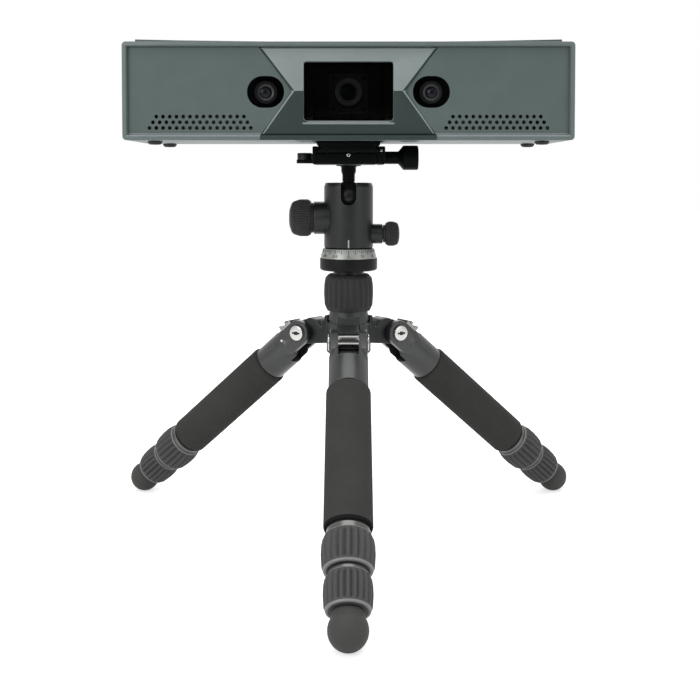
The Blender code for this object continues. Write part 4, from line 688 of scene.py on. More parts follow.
class Shading(Enum):
    """How far apart two faces lean before their edge shows, in degrees."""

    FLAT = 5.0
    CRISP = 30.0
    ROUND = 60.0


# Points closer than this, in millimetres, are one point
MERGE = 1e-4


class Blank:
    """A mesh in the making, in millimetres about its own axis."""

    def __init__(self) -> None:
        """Start with nothing."""
        self.bm = bmesh.new()
        self.painted: list[Finish] = []

    def _wire(
        self, points: Sequence[Point], plane: Matrix, closed: bool, steps: int
    ) -> list[bmesh.types.BMEdge]:
        """Draw a line of points and round its corners.

        Args:
            points: Two coordinates each, and the corner's radius where it is rounded.
            plane: Where the line is drawn.
            closed: Whether the last point joins the first.
            steps: Segments of each round corner.

        Returns:
            The line's edges.
        """
        old = set(self.bm.edges)
        verts = [self.bm.verts.new(plane @ Vector((point[0], point[1], 0.0))) for point in points]
        for first, second in zip(verts, verts[1:] + (verts[:1] if closed else [])):
            self.bm.edges.new((first, second))
        for vert, point in zip(verts, points):
            if len(point) > 2 and point[2] > 0.0:
                bmesh.ops.bevel(
                    self.bm, geom=[vert], offset=point[2] * self._reach(vert), offset_type="OFFSET",
                    segments=steps, profile=0.5, affect="VERTICES", clamp_overlap=True, material=-1,
                )
        return [edge for edge in self.bm.edges if edge not in old]

    @staticmethod
    def _reach(vert: bmesh.types.BMVert) -> float:
        """How far along its edges a round corner of radius 1 starts.

        Args:
            vert: The corner, where two edges meet.

        Returns:
            The distance from the corner.
        """
        first, second = ((edge.other_vert(vert).co - vert.co).normalized() for edge in vert.link_edges)
        half = first.angle(second) / 2.0
        return 1.0 / math.tan(half)

    def turned(
        self, profile: Sequence[Point], steps: int = 64, corner: int = 4, closed: bool = False
    ) -> "Blank":
        """Add a solid of revolution about Z.

        Args:
            profile: (radius, height) points, with a corner radius where one is rounded.
            steps: Sides of the solid.
            corner: Segments of each round corner.
            closed: Whether the profile is a closed ring section.

        Returns:
            This blank.
        """
        old = set(self.bm.faces)
        edges = self._wire(profile, FRONTAL, closed, corner)
        verts = {vert for edge in edges for vert in edge.verts}
        bmesh.ops.spin(
            self.bm, geom=list(verts) + edges, cent=(0, 0, 0), axis=(0, 0, 1), angle=TURN, steps=steps,
            use_merge=True,
        )
        made = [face for face in self.bm.faces if face not in old]
        touched = list({vert for face in made for vert in face.verts})
        bmesh.ops.remove_doubles(self.bm, verts=touched, dist=MERGE)
        made = [face for face in self.bm.faces if face not in old]
        bmesh.ops.recalc_face_normals(self.bm, faces=made)
        return self

    def plate(
        self,
        outline: Sequence[Point],
        low: float,
        high: float,
        holes: Sequence[Sequence[Point]] = (),
        corner: int = 4,
    ) -> "Blank":
        """Add a flat outline with its thickness along Z.

        Args:
            outline: Its edge, with a corner radius where one is rounded.
            low: Lower height.
            high: Upper height.
            holes: Outlines of the holes through it.
            corner: Segments of each round corner.

        Returns:
            This blank.
        """
        old = set(self.bm.faces)
        plane = Matrix.Translation((0.0, 0.0, low))
        edges = self._wire(outline, plane, True, corner)
        for hole in holes:
            edges += self._wire(hole, plane, True, corner)
        if holes:
            bmesh.ops.triangle_fill(self.bm, edges=edges, use_beauty=True, use_dissolve=False)
        else:
            bmesh.ops.contextual_create(self.bm, geom=edges)
        flat = [face for face in self.bm.faces if face not in old]
        grown = bmesh.ops.extrude_face_region(self.bm, geom=flat, use_keep_orig=True)["geom"]
        moved = [item for item in grown if isinstance(item, bmesh.types.BMVert)]
        bmesh.ops.translate(self.bm, vec=(0.0, 0.0, high - low), verts=moved)
        made = [face for face in self.bm.faces if face not in old]
        bmesh.ops.recalc_face_normals(self.bm, faces=made)
        return self

    def box(self, size: Point, centre: Point = (0.0, 0.0, 0.0)) -> "Blank":
        """Add a box.

        Args:
            size: Its three sides.
            centre: Its middle.

        Returns:
            This blank.
        """
        place = Matrix.Translation(centre) @ Matrix.Diagonal((*size, 1.0))
        bmesh.ops.create_cube(self.bm, size=1.0, matrix=place)
        return self

    def ball(self, radius: float, across: int, rows: int) -> "Blank":
        """Add a sphere round the origin."""
        bmesh.ops.create_uvsphere(self.bm, u_segments=across, v_segments=rows, radius=radius)
        return self

    def rod(self, radius: float, low: float, high: float, steps: int) -> "Blank":
        """Add a cylinder about Z.

        Args:
            radius: Its radius.
            low: Its lower end.
            high: Its upper end.
            steps: Its sides.

        Returns:
            This blank.
        """
        place = Matrix.Translation((0.0, 0.0, (low + high) / 2.0))
        bmesh.ops.create_cone(
            self.bm, cap_ends=True, segments=steps, radius1=radius, radius2=radius, depth=high - low,
            matrix=place,
        )
        return self

    def copied(self, node: bpy.types.Object) -> "Blank":
        """Add a CAD node's shape, with its triangles merged into flat faces.

        Args:
            node: The CAD node.

        Returns:
            This blank, with the shape where the frame has it.
        """
        mesh = node.data.copy()
        mesh.transform(Matrix.Scale(1.0 / MM, 4))
        self.bm.from_mesh(mesh)
        bpy.data.meshes.remove(mesh)
        bmesh.ops.remove_doubles(self.bm, verts=self.bm.verts, dist=0.002)
        bmesh.ops.dissolve_limit(
            self.bm, angle_limit=math.radians(0.5), verts=self.bm.verts, edges=self.bm.edges, delimit=set()
        )
        return self

    def soften(self, width: float, segments: int = 2, limit: float = 28.0) -> "Blank":
        """Round the edges that show.

        Args:
            width: Width of the rounding.
            segments: Its segments.
            limit: Least angle between the faces, in degrees.

        Returns:
            This blank.
        """
        least = math.radians(limit)
        chosen = [edge for edge in self.bm.edges if edge.is_manifold and edge.calc_face_angle(0.0) >= least]
        if chosen:
            bmesh.ops.bevel(
                self.bm, geom=chosen, offset=width, offset_type="OFFSET", segments=segments, profile=0.5,
                affect="EDGES", clamp_overlap=True, material=-1,
            )
        return self

    def place(self, matrix: Matrix) -> "Blank":
        """Move everything, and keep its faces outwards if the matrix mirrors it.

        Args:
            matrix: The move.

        Returns:
            This blank.
        """
        bmesh.ops.transform(self.bm, matrix=matrix, verts=self.bm.verts)
        if matrix.to_3x3().determinant() < 0.0:
            bmesh.ops.reverse_faces(self.bm, faces=self.bm.faces)
        return self

    def add(self, other: "Blank", matrix: Matrix | None = None) -> "Blank":
        """Add another blank's shape to this one.

        Args:
            other: The blank to add, which is used up.
            matrix: Where it goes.

        Returns:
            This blank.
        """
        if matrix is not None:
            other.place(matrix)
        mesh = bpy.data.meshes.new("joined")
        other.bm.to_mesh(mesh)
        other.bm.free()
        self.bm.from_mesh(mesh)
        bpy.data.meshes.remove(mesh)
        return self

    def copies(self, pattern: "Blank", places: Iterable[Matrix]) -> "Blank":
        """Add a shape many times.

        Args:
            pattern: The shape, which is used up.
            places: Where each copy goes.

        Returns:
            This blank.
        """
        mesh = bpy.data.meshes.new("pattern")
        pattern.bm.to_mesh(mesh)
        pattern.bm.free()
        for matrix in places:
            one = mesh.copy()
            one.transform(matrix)
            self.bm.from_mesh(one)
            bpy.data.meshes.remove(one)
        bpy.data.meshes.remove(mesh)
        return self

    def flute(
        self, count: int, depth: float, low: float, high: float, least: float, fade: float
    ) -> "Blank":
        """Press rounded flutes into the outside of a turned shape.

        Args:
            count: Flutes round the shape.
            depth: Their depth.
            low: Where they start.
            high: Where they end.
            least: Only points further out than this move.
            fade: How far from each end they reach their depth.

        Returns:
            This blank.
        """
        for vert in self.bm.verts:
            radius = math.hypot(vert.co.x, vert.co.y)
            if radius < least or not low < vert.co.z < high:
                continue
            ends = min(1.0, (vert.co.z - low) / fade, (high - vert.co.z) / fade)
            wave = 0.5 + 0.5 * math.cos(count * math.atan2(vert.co.y, vert.co.x))
            scale = 1.0 - depth * ends * wave ** 2 / radius
            vert.co.x *= scale
            vert.co.y *= scale
        return self

    def rows(self, low: float, high: float, count: int) -> "Blank":
        """Cut level rings of edges into the shape.

        Args:
            low: Height of the first.
            high: Height of the last.
            count: How many.

        Returns:
            This blank.
        """
        for i in range(count):
            self.slice((0, 0, low + (high - low) * i / (count - 1)), (0, 0, 1))
        return self

    def slice(self, point: Point, normal: Point) -> "Blank":
        """Cut a line of edges round the shape, in a plane.

        Args:
            point: Where the plane lies.
            normal: The direction that it faces.

        Returns:
            This blank.
        """
        everything = self.bm.verts[:] + self.bm.edges[:] + self.bm.faces[:]
        bmesh.ops.bisect_plane(self.bm, geom=everything, dist=MERGE, plane_co=point, plane_no=normal)
        return self

    def level(self, height: float) -> "Blank":
        """Cut off what lies below a height and close the cut.

        Args:
            height: Where the cut is.

        Returns:
            This blank.
        """
        everything = self.bm.verts[:] + self.bm.edges[:] + self.bm.faces[:]
        cut = bmesh.ops.bisect_plane(
            self.bm, geom=everything, dist=1e-5, plane_co=(0, 0, height), plane_no=(0, 0, 1), clear_inner=True
        )
        rim = [item for item in cut["geom_cut"] if isinstance(item, bmesh.types.BMEdge)]
        bmesh.ops.holes_fill(self.bm, edges=rim, sides=0)
        bmesh.ops.recalc_face_normals(self.bm, faces=self.bm.faces)
        return self

    def _combine(self, other: "Blank", operation: str) -> "Blank":
        """Cut another shape off this one, or join it on.

        Args:
            other: The other shape, which is used up.
            operation: DIFFERENCE or UNION.

        Returns:
            This blank.
        """
        objects = []
        for blank, name in ((self, "work"), (other, "tool")):
            mesh = bpy.data.meshes.new(name)
            blank.bm.to_mesh(mesh)
            blank.bm.free()
            made = bpy.data.objects.new(name, mesh)
            bpy.context.scene.collection.objects.link(made)
            objects.append(made)
        work, tool = objects
        step = work.modifiers.new("combine", "BOOLEAN")
        step.object = tool
        step.operation = operation
        step.solver = "EXACT"
        graph = bpy.context.evaluated_depsgraph_get()
        result = bpy.data.meshes.new_from_object(work.evaluated_get(graph))
        self.bm = bmesh.new()
        self.bm.from_mesh(result)
        for made in objects:
            mesh = made.data
            bpy.data.objects.remove(made)
            bpy.data.meshes.remove(mesh)
        bpy.data.meshes.remove(result)
        bmesh.ops.remove_doubles(self.bm, verts=self.bm.verts, dist=MERGE)
        return self

    def cut(self, other: "Blank") -> "Blank":
        """Cut another shape off this one."""
        return self._combine(other, "DIFFERENCE")

    def unite(self, other: "Blank") -> "Blank":
        """Join another shape onto this one."""
        return self._combine(other, "UNION")

    def written(self, words: str, height: float, depth: float) -> "Blank":
        """Add plain upright figures, centred on the origin.

        Args:
            words: The figures.
            height: Their height.
            depth: How far they stand out.

        Returns:
            This blank.
        """
        curve = bpy.data.curves.new("figures", "FONT")
        curve.body = words
        curve.size = height
        curve.extrude = depth / 2.0
        curve.align_x = "CENTER"
        curve.align_y = "CENTER"
        curve.resolution_u = 2
        made = bpy.data.objects.new("figures", curve)
        bpy.context.scene.collection.objects.link(made)
        graph = bpy.context.evaluated_depsgraph_get()
        mesh = bpy.data.meshes.new_from_object(made.evaluated_get(graph))
        self.bm.from_mesh(mesh)
        bpy.data.objects.remove(made)
        bpy.data.curves.remove(curve)
        bpy.data.meshes.remove(mesh)
        bmesh.ops.remove_doubles(self.bm, verts=self.bm.verts, dist=MERGE)
        return self

    def paint(self, finish: Finish, chosen: Callable[[Vector, Vector], bool]) -> "Blank":
        """Give some of the faces a finish of their own.

        Args:
            finish: Their finish.
            chosen: Says whether a face gets it, from its middle and its normal.

        Returns:
            This blank.
        """
        self.painted.append(finish)
        self.bm.normal_update()
        for face in self.bm.faces:
            if chosen(face.calc_center_median(), face.normal):
                face.material_index = len(self.painted)
        return self

    def fit(
        self,
        name: str,
        body: str,
        finish: Finish,
        replaces: Sequence[str] = (),
        shading: Shading = Shading.CRISP,
        matrix: Matrix | None = None,
    ) -> bpy.types.Object:
        """Store the shape as a piece that rides on a body.

        Args:
            name: Name of the piece.
            body: The CAD body that it moves with.
            finish: Its finish.
            replaces: CAD nodes that it stands for.
            shading: Which edges stay sharp.
            matrix: Where it goes, in millimetres.

        Returns:
            The piece.
        """
        if matrix is not None:
            self.place(matrix)
        bmesh.ops.scale(self.bm, vec=(MM, MM, MM), verts=self.bm.verts)
        mesh = bpy.data.meshes.new(name)
        self.bm.to_mesh(mesh)
        self.bm.free()
        for coat in [finish, *self.painted]:
            mesh.materials.append(coat.material())
        for polygon in mesh.polygons:
            polygon.use_smooth = True
        mesh.set_sharp_from_angle(angle=math.radians(shading.value))
        piece = bpy.data.objects.new(name, mesh)
        bpy.context.scene.collection.objects.link(piece)
        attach(piece, body)
        if replaces:
            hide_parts(*replaces)
        LOG.info("%s: %d faces", name, len(mesh.polygons))
        return piece


def round_corners(width: float, height: float, radius: float, centre: Point = (0.0, 0.0)) -> list[Point]:
    """Outline of a rectangle with round corners.

    Args:
        width: Across.
        height: Up.
        radius: Of each corner.
        centre: Its middle.

    Returns:
        Four corners with their radius.
    """
    return [
        (centre[0] + across * width / 2.0, centre[1] + up * height / 2.0, radius)
        for across, up in ((1, 1), (-1, 1), (-1, -1), (1, -1))
    ]


def ring(radius: float, sides: int, centre: Point = (0.0, 0.0)) -> list[Point]:
    """Outline of a circle."""
    angles = [TURN * i / sides for i in range(sides)]
    return [(centre[0] + radius * math.cos(a), centre[1] + radius * math.sin(a)) for a in angles]


def around(count: int, reach: float, height: float) -> list[Matrix]:
    """Places evenly round Z, each with its X axis pointing outwards."""
    out = Matrix.Translation((reach, 0.0, height))
    return [Matrix.Rotation(TURN * i / count, 4, "Z") @ out for i in range(count)]


# Studio


@dataclass
class Softbox:
    """A rectangular lamp, aimed at the middle of the object, in metres and watts."""

    name: str
    place: Point
    width: float
    height: float
    power: float


@dataclass
class Studio:
    """White background, pale floor, soft lamps and the camera of the photograph, in metres."""

    camera_place: Point = (0.0009, -0.6171, 0.2278)
    camera_pitch: float = 2.22
    focal_length: float = 53.1
    sensor_width: float = 36.0
    shift: float = -0.19
    ambient: float = 0.55
    floor_size: float = 6.0
    floor_drop: float = 0.0002
    floor_white: float = 0.8
    floor_glow: float = 0.58
    card_size: float = 0.5
    card_place: Point = (0.0, -1.7, 0.45)
    card_scale: Point = (3.2, 1.5, 1.0)
    card_glow: float = 0.25
    aim: Point = (0.0, 0.03, 0.16)
    lamps: list[Softbox] = field(
        default_factory=lambda: [
            Softbox("overhead_softbox", (0.0, -0.10, 1.25), 1.2, 0.9, 9.0),
            Softbox("front_left_softbox", (-1.0, -1.2, 0.75), 0.9, 0.9, 10.0),
            Softbox("front_right_softbox", (1.1, -1.1, 0.55), 0.9, 0.9, 3.5),
            Softbox("rear_softbox", (0.3, 1.3, 0.9), 1.0, 0.8, 6.0),
        ]
    )

    def build(self) -> None:
        """Set up the camera, the world, the floor and the lamps."""
        scene = bpy.context.scene
        scene.view_settings.view_transform = "Standard"
        self._camera(scene)
        self._world(scene)
        self._floor()
        self._card()
        for lamp in self.lamps:
            self._lamp(scene, lamp)

    def _camera(self, scene: bpy.types.Scene) -> None:
        """Place the camera as the photograph's was.

        Args:
            scene: The scene that it looks at.
        """
        data = bpy.data.cameras.new("view_camera")
        data.lens = self.focal_length
        data.sensor_width = self.sensor_width
        data.shift_y = self.shift
        camera = bpy.data.objects.new("view_camera", data)
        camera.location = self.camera_place
        camera.rotation_euler = (math.radians(90.0 - self.camera_pitch), 0.0, 0.0)
        scene.collection.objects.link(camera)
        scene.camera = camera

    def _world(self, scene: bpy.types.Scene) -> None:
        """White to the camera, to gloss and through glass, and dimmer as a light.

        Args:
            scene: The scene that it lights.
        """
        world = bpy.data.worlds.new("studio_world")
        world.use_nodes = True
        wires = Wiring(world.node_tree)
        strength = wires.math("ADD", wires.math("MULTIPLY", wires.seen(), 1.0 - self.ambient), self.ambient)
        wires.tune(world.node_tree.nodes["Background"], Color=(1.0, 1.0, 1.0, 1.0), Strength=strength)
        scene.world = world

    def _plane(self, name: str, size: float, paint: str, white: float) -> tuple[bpy.types.Object, Wiring]:
        """Make a square that glows white and has no gloss.

        Args:
            name: Its name.
            size: Its size, as the operator takes it.
            paint: Name of its material.
            white: How light its colour is, 0 to 1.

        Returns:
            The square and the wiring of its material.
        """
        bm = bmesh.new()
        bmesh.ops.create_grid(bm, x_segments=1, y_segments=1, size=size)
        mesh = bpy.data.meshes.new(name)
        bm.to_mesh(mesh)
        bm.free()
        plane = bpy.data.objects.new(name, mesh)
        bpy.context.scene.collection.objects.link(plane)
        made = bpy.data.materials.new(paint)
        made.use_nodes = True
        wires = Wiring(made.node_tree)
        wires.tune(
            made.node_tree.nodes["Principled BSDF"], Base_Color=(white, white, white, 1.0),
            Specular_IOR_Level=0.0, Emission_Color=(1.0, 1.0, 1.0, 1.0),
        )
        mesh.materials.append(made)
        return plane, wires

    def _floor(self) -> None:
        """A white floor that keeps the object's shadow."""
        floor, wires = self._plane("studio_floor", self.floor_size, "studio_floor_paint", self.floor_white)
        floor.location = (0.0, 0.0, -self.floor_drop)
        glow = wires.math("MULTIPLY", wires.seen(), self.floor_glow)
        wires.tune(wires.tree.nodes["Principled BSDF"], Roughness=0.9, Emission_Strength=glow)

    def _card(self) -> None:
        """The dark room behind the camera, which only the object's gloss sees."""
        card, wires = self._plane("camera_side_card", self.card_size, "camera_side_card_felt", 0.0)
        card.location = self.card_place
        card.scale = self.card_scale
        card.rotation_euler = (QUARTER, 0.0, 0.0)
        card.visible_camera = card.visible_diffuse = card.visible_shadow = card.visible_transmission = False
        wires.tune(wires.tree.nodes["Principled BSDF"], Emission_Strength=self.card_glow)

    def _lamp(self, scene: bpy.types.Scene, lamp: Softbox) -> None:
        """Hang one softbox.

        Args:
            scene: The scene that it lights.
            lamp: Its place, size and power.
        """
        data = bpy.data.lights.new(lamp.name, "AREA")
        data.shape = "RECTANGLE"
        data.size = lamp.width
        data.size_y = lamp.height
        data.energy = lamp.power
        light = bpy.data.objects.new(lamp.name, data)
        light.location = lamp.place
        direction = Vector(self.aim) - Vector(lamp.place)
        light.rotation_euler = direction.to_track_quat("-Z", "Y").to_euler()
        light.visible_camera = False
        scene.collection.objects.link(light)


# Scanner bar


@dataclass
class ScannerBar:
    """The sleeve with its front panels, bezel, window, cover, pads and rear cover."""

    frame: Frame
    width: float = 272.0
    height: float = 59.0
    depth: float = 76.0
    wall: float = 3.0
    gap: float = 0.3
    reveal: float = 0.08
    panel_inset: float = 2.6
    panel_thickness: float = 2.4
    bezel_top: float = 54.0
    bezel_waist: float = 33.8
    bezel_bottom: float = 53.0
    window_width: float = 54.0
    bead: float = 0.6
    opening: tuple[float, float] = (22.5, 19.2)
    camera_spacing: float = 100.0
    camera_drop: float = 0.4
    vent_radius: float = 1.2
    vent_sides: int = 12
    vent_pitch: float = 4.07
    vent_row_pitch: float = 3.4
    vent_start: float = 59.0
    vent_rise: float = 7.4
    vent_holes: int = 16
    vent_rows: int = 3
    lit_edge: float = 1.2
    screw_inset: float = 5.4
    data_port: tuple[float, float] = (12.4, 10.9)
    data_port_x: float = 62.0
    power_port_x: float = 84.0
    socket_depth: float = 11.4
    contact_pitch: float = 1.8
    pad_radius: float = 4.5
    pad_height: float = 2.2
    body: str = "scanner"

    def __post_init__(self) -> None:
        """Find the bar's middle from the frame."""
        self.centre = self.frame.middle("housing")

    def build(self) -> None:
        """Make every piece of the bar."""
        self._sleeve()
        self._top_cover()
        for name, side in (("left_panel", -1), ("right_panel", 1)):
            self._panel(name, side)
        self._bezel()
        self._window()
        self._rear_cover()
        self._pads()

    def _sleeve(self) -> None:
        """The extruded sleeve, its edges broken, with a painted highlight on its lower lip and painted shade
        on the mouth's downward faces and on the lip below the bezel.
        """
        sleeve = Blank().copied(self.frame.nodes["housing"])
        sleeve.soften(0.25, 2, limit=42.0)
        for side in (-1.0, 1.0):
            sleeve.slice((self.centre.x + side * (self.bezel_bottom + self.gap), 0.0, 0.0), (1.0, 0.0, 0.0))
        mouth = self.centre.y - self.depth / 2.0 + self.panel_inset
        low = self.centre.z - self.height / 2.0
        edge = self.width / 2.0 - self.wall - 0.2
        lip = low + self.wall + 0.5
        # The mouth's end walls take the panel enamel; its faces that look down take it as painted shade.
        sleeve.paint(
            SLATE_PANEL_AND_SHADE, lambda at, out: at.y < mouth and (abs(at.x - self.centre.x) > edge or out.z < -0.3)
        )
        # Painted highlight on the lower lip's faces that look up.
        sleeve.paint(SLATE_LIP_HIGHLIGHT, lambda at, out: at.y < mouth and at.z < lip and out.z > 0.2)
        # Painted shade on the lower lip below the bezel.
        sleeve.paint(
            SLATE_SHADE,
            lambda at, out: at.y < mouth and at.z < lip and abs(at.x - self.centre.x) < self.bezel_bottom,
        )
        sleeve.fit("scanner_sleeve", self.body, SLATE, ["housing"])

    def _top_cover(self) -> None:
        """The dished cover let into the sleeve."""
        cover = Blank().copied(self.frame.nodes["top_cover"])
        cover.soften(0.3, 3, limit=50.0)
        cover.fit("scanner_top_cover", self.body, SLATE_DEEP, ["top_cover"])

    def _vents(self, side: int) -> list[list[Point]]:
        """Outlines of one grille, in rows that start further out the higher they are.

        Args:
            side: -1 for the left grille and 1 for the right one.

        Returns:
            The outline of each hole.
        """
        holes = []
        for row in range(self.vent_rows):
            start = self.vent_start + row * self.vent_pitch / 2.0
            up = self.vent_rise + row * self.vent_row_pitch - self.height / 2.0
            for i in range(self.vent_holes - row):
                place = (side * (start + i * self.vent_pitch), up)
                holes.append(ring(self.vent_radius, self.vent_sides, place))
        return holes

    def _panel(self, name: str, side: int) -> None:
        """One front panel with its camera opening and its vent grille.

        Args:
            name: Name of its CAD node.
            side: -1 for the left panel and 1 for the right one.
        """
        across = self.width / 2.0 - self.wall - self.reveal
        up = self.height / 2.0 - self.wall - self.reveal
        outline = [
            (self.bezel_bottom + 2 * self.reveal, -up), (across, -up, 1.0), (across, up, 1.0),
            (self.bezel_top + 2 * self.reveal, up), (self.bezel_waist + 2 * self.reveal, 0.0),
        ]
        outline = [(side * point[0], *point[1:]) for point in outline]
        wide, high = self.opening
        place = (side * self.camera_spacing / 2.0, -self.camera_drop)
        opening = round_corners(wide, high, high / 2.0 - 0.05, place)
        panel = Blank().plate(outline, 0.0, self.panel_thickness, [opening] + self._vents(side), corner=10)
        panel.place(FRONTAL)
        front = -self.depth / 2.0 + self.panel_inset
        panel.place(upright(self.centre.x, self.centre.y + front, self.centre.z))
        lit = self.centre.z - up + self.lit_edge
        panel.slice((0.0, 0.0, lit), (0.0, 0.0, 1.0))
        # A painted highlight along the panel's lower edge.
        panel.paint(SLATE_PAINTED_HIGHLIGHT, lambda at, out: at.z < lit)
        panel.fit("scanner_" + name, self.body, SLATE_PANEL_AND_SHADE, [name])

    def _bezel(self) -> None:
        """The waisted centre block: painted light on its upper facets, painted shade on its lower facets, a
        painted highlight on its sill.
        """
        bezel = Blank().copied(self.frame.nodes["centre_bezel"])
        middle = self.centre.z
        opened = self.height / 2.0 - self.wall
        bezel.place(
            upright(0.0, 0.0, middle)
            @ Matrix.Diagonal((1.0, 1.0, (opened - self.reveal) / (opened - self.gap), 1.0))
            @ upright(0.0, 0.0, -middle)
        )
        bezel.soften(0.18, 2, limit=22.0)
        # Painted shade on the bezel's facets that look down.
        bezel.paint(SLATE_SHADE, lambda at, out: out.y < -0.3 and out.z < -0.03)
        # Painted highlight on the faces below the window that look up.
        bezel.paint(SLATE_PAINTED_HIGHLIGHT, lambda at, out: out.z > 0.35 and at.z < middle - 10.0)
        self._sill_highlight(bezel)
        # The rest of the bezel takes the lighter copy of the enamel, which paints light on it.
        bezel.fit("scanner_centre_bezel", self.body, SLATE_PAINTED_LIGHT, ["centre_bezel"])

    def _sill_highlight(self, bezel: Blank) -> None:
        """Add the rounded bead along the window's lower edge, which carries the sill's painted highlight.

        Args:
            bezel: The bezel, its sill already given the painted highlight.
        """
        painted = len(bezel.painted)
        half = self.window_width / 2.0 + self.bead
        sill = [
            vert.co for face in bezel.bm.faces if face.material_index == painted for vert in face.verts
            if abs(vert.co.x - self.centre.x) < half
        ]
        front = min(sill, key=lambda point: point.z)
        profile = [(0.0, half), (self.bead, half, 0.35), (self.bead, -half, 0.35), (0.0, -half)]
        bead = Blank().turned(profile, 16)
        # The bead takes the sill's painted highlight.
        for face in bead.bm.faces:
            face.material_index = painted
        bezel.add(bead, aimed((self.centre.x, front.y + 0.2, front.z + 0.2), (1, 0, 0)))

    def _window(self) -> None:
        """The smoked pane behind the bezel."""
        low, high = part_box("window_glass")
        size = (high - low) / MM
        pane = Blank().box(size, (low + high) / 2.0 / MM)
        pane.soften(0.25, 2)
        pane.fit("scanner_window_pane", self.body, WINDOW_GLASS, ["window_glass"])

    def _rear_cover(self) -> None:
        """The rear cover, its six screws and what its inlets hold."""
        cover = Blank().copied(self.frame.nodes["rear_cover"])
        cover.fit("scanner_rear_cover", self.body, SLATE_DEEP, ["rear_cover"])
        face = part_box("rear_cover")[1].y / MM
        across = self.width / 2.0 - self.wall - self.screw_inset
        up = self.height / 2.0 - self.wall - self.screw_inset
        profile = [
            (0.0, -0.45), (0.85, -0.45), (0.95, 0.55, 0.1), (1.7, 0.5, 0.35), (1.9, 0.02), (1.9, -0.35),
            (0.0, -0.6),
        ]
        screws = Blank().copies(Blank().turned(profile, 24, 2), [
            upright(self.centre.x + x * across, face, self.centre.z + z * up) @ TO_REAR
            for x in (-1, 0, 1) for z in (-1, 1)
        ])
        screws.fit("scanner_rear_screws", self.body, BLACK_ANODISED_AND_SHADE)
        self._inlets(face)

    def _inlets(self, face: float) -> None:
        """The data socket's shell, tongue and contacts, and the power inlet's pin.

        Args:
            face: Where the rear cover's outside lies.
        """
        wide, high = self.data_port
        deep = self.socket_depth
        data = upright(self.centre.x + self.data_port_x, face, self.centre.z) @ TO_REAR
        shell = Blank().plate(
            round_corners(wide - 0.3, high - 0.3, 0.6), -deep, -0.4,
            [round_corners(wide - 1.3, high - 1.3, 0.4)],
        )
        shell.fit("scanner_data_socket_shell", self.body, STEEL, matrix=data)
        middle = -deep / 2.0 - 0.9
        tongue = Blank().box((wide - 4.0, 1.7, deep - 2.0), (0.0, -1.2, middle)).soften(0.2, 2)
        tongue.fit("scanner_data_socket_tongue", self.body, LENS_BLACK, matrix=data)
        contact = Blank().box((0.9, 0.14, deep - 3.4), (0.0, -2.11, middle))
        places = [upright(step * self.contact_pitch, 0.0, 0.0) for step in (-1.5, -0.5, 0.5, 1.5)]
        contacts = Blank().copies(contact, places)
        contacts.fit("scanner_data_socket_contacts", self.body, CONTACT_GOLD, matrix=data)
        power = upright(self.centre.x + self.power_port_x, face, self.centre.z) @ TO_REAR
        pin = Blank().turned([(0.0, -1.6), (0.75, -1.6, 0.5), (0.75, -deep), (0.0, -deep)], 24, 3)
        pin.fit("scanner_power_inlet_pin", self.body, CONTACT_GOLD, matrix=power)

    def _pads(self) -> None:
        """Four domed rubber pads."""
        for name in ("front_left_pad", "front_right_pad", "rear_left_pad", "rear_right_pad"):
            middle = self.frame.middle(name)
            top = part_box(name)[1].z / MM
            profile = [
                (0.0, 0.0), (self.pad_radius, 0.0, 0.15), (self.pad_radius, -self.pad_height * 0.4, 0.5),
                (self.pad_radius * 0.74, -self.pad_height * 0.92, 0.4), (0.0, -self.pad_height),
            ]
            pad = Blank().turned(profile, 40)
            pad.fit("scanner_" + name, self.body, RUBBER, [name], matrix=upright(middle.x, middle.y, top))


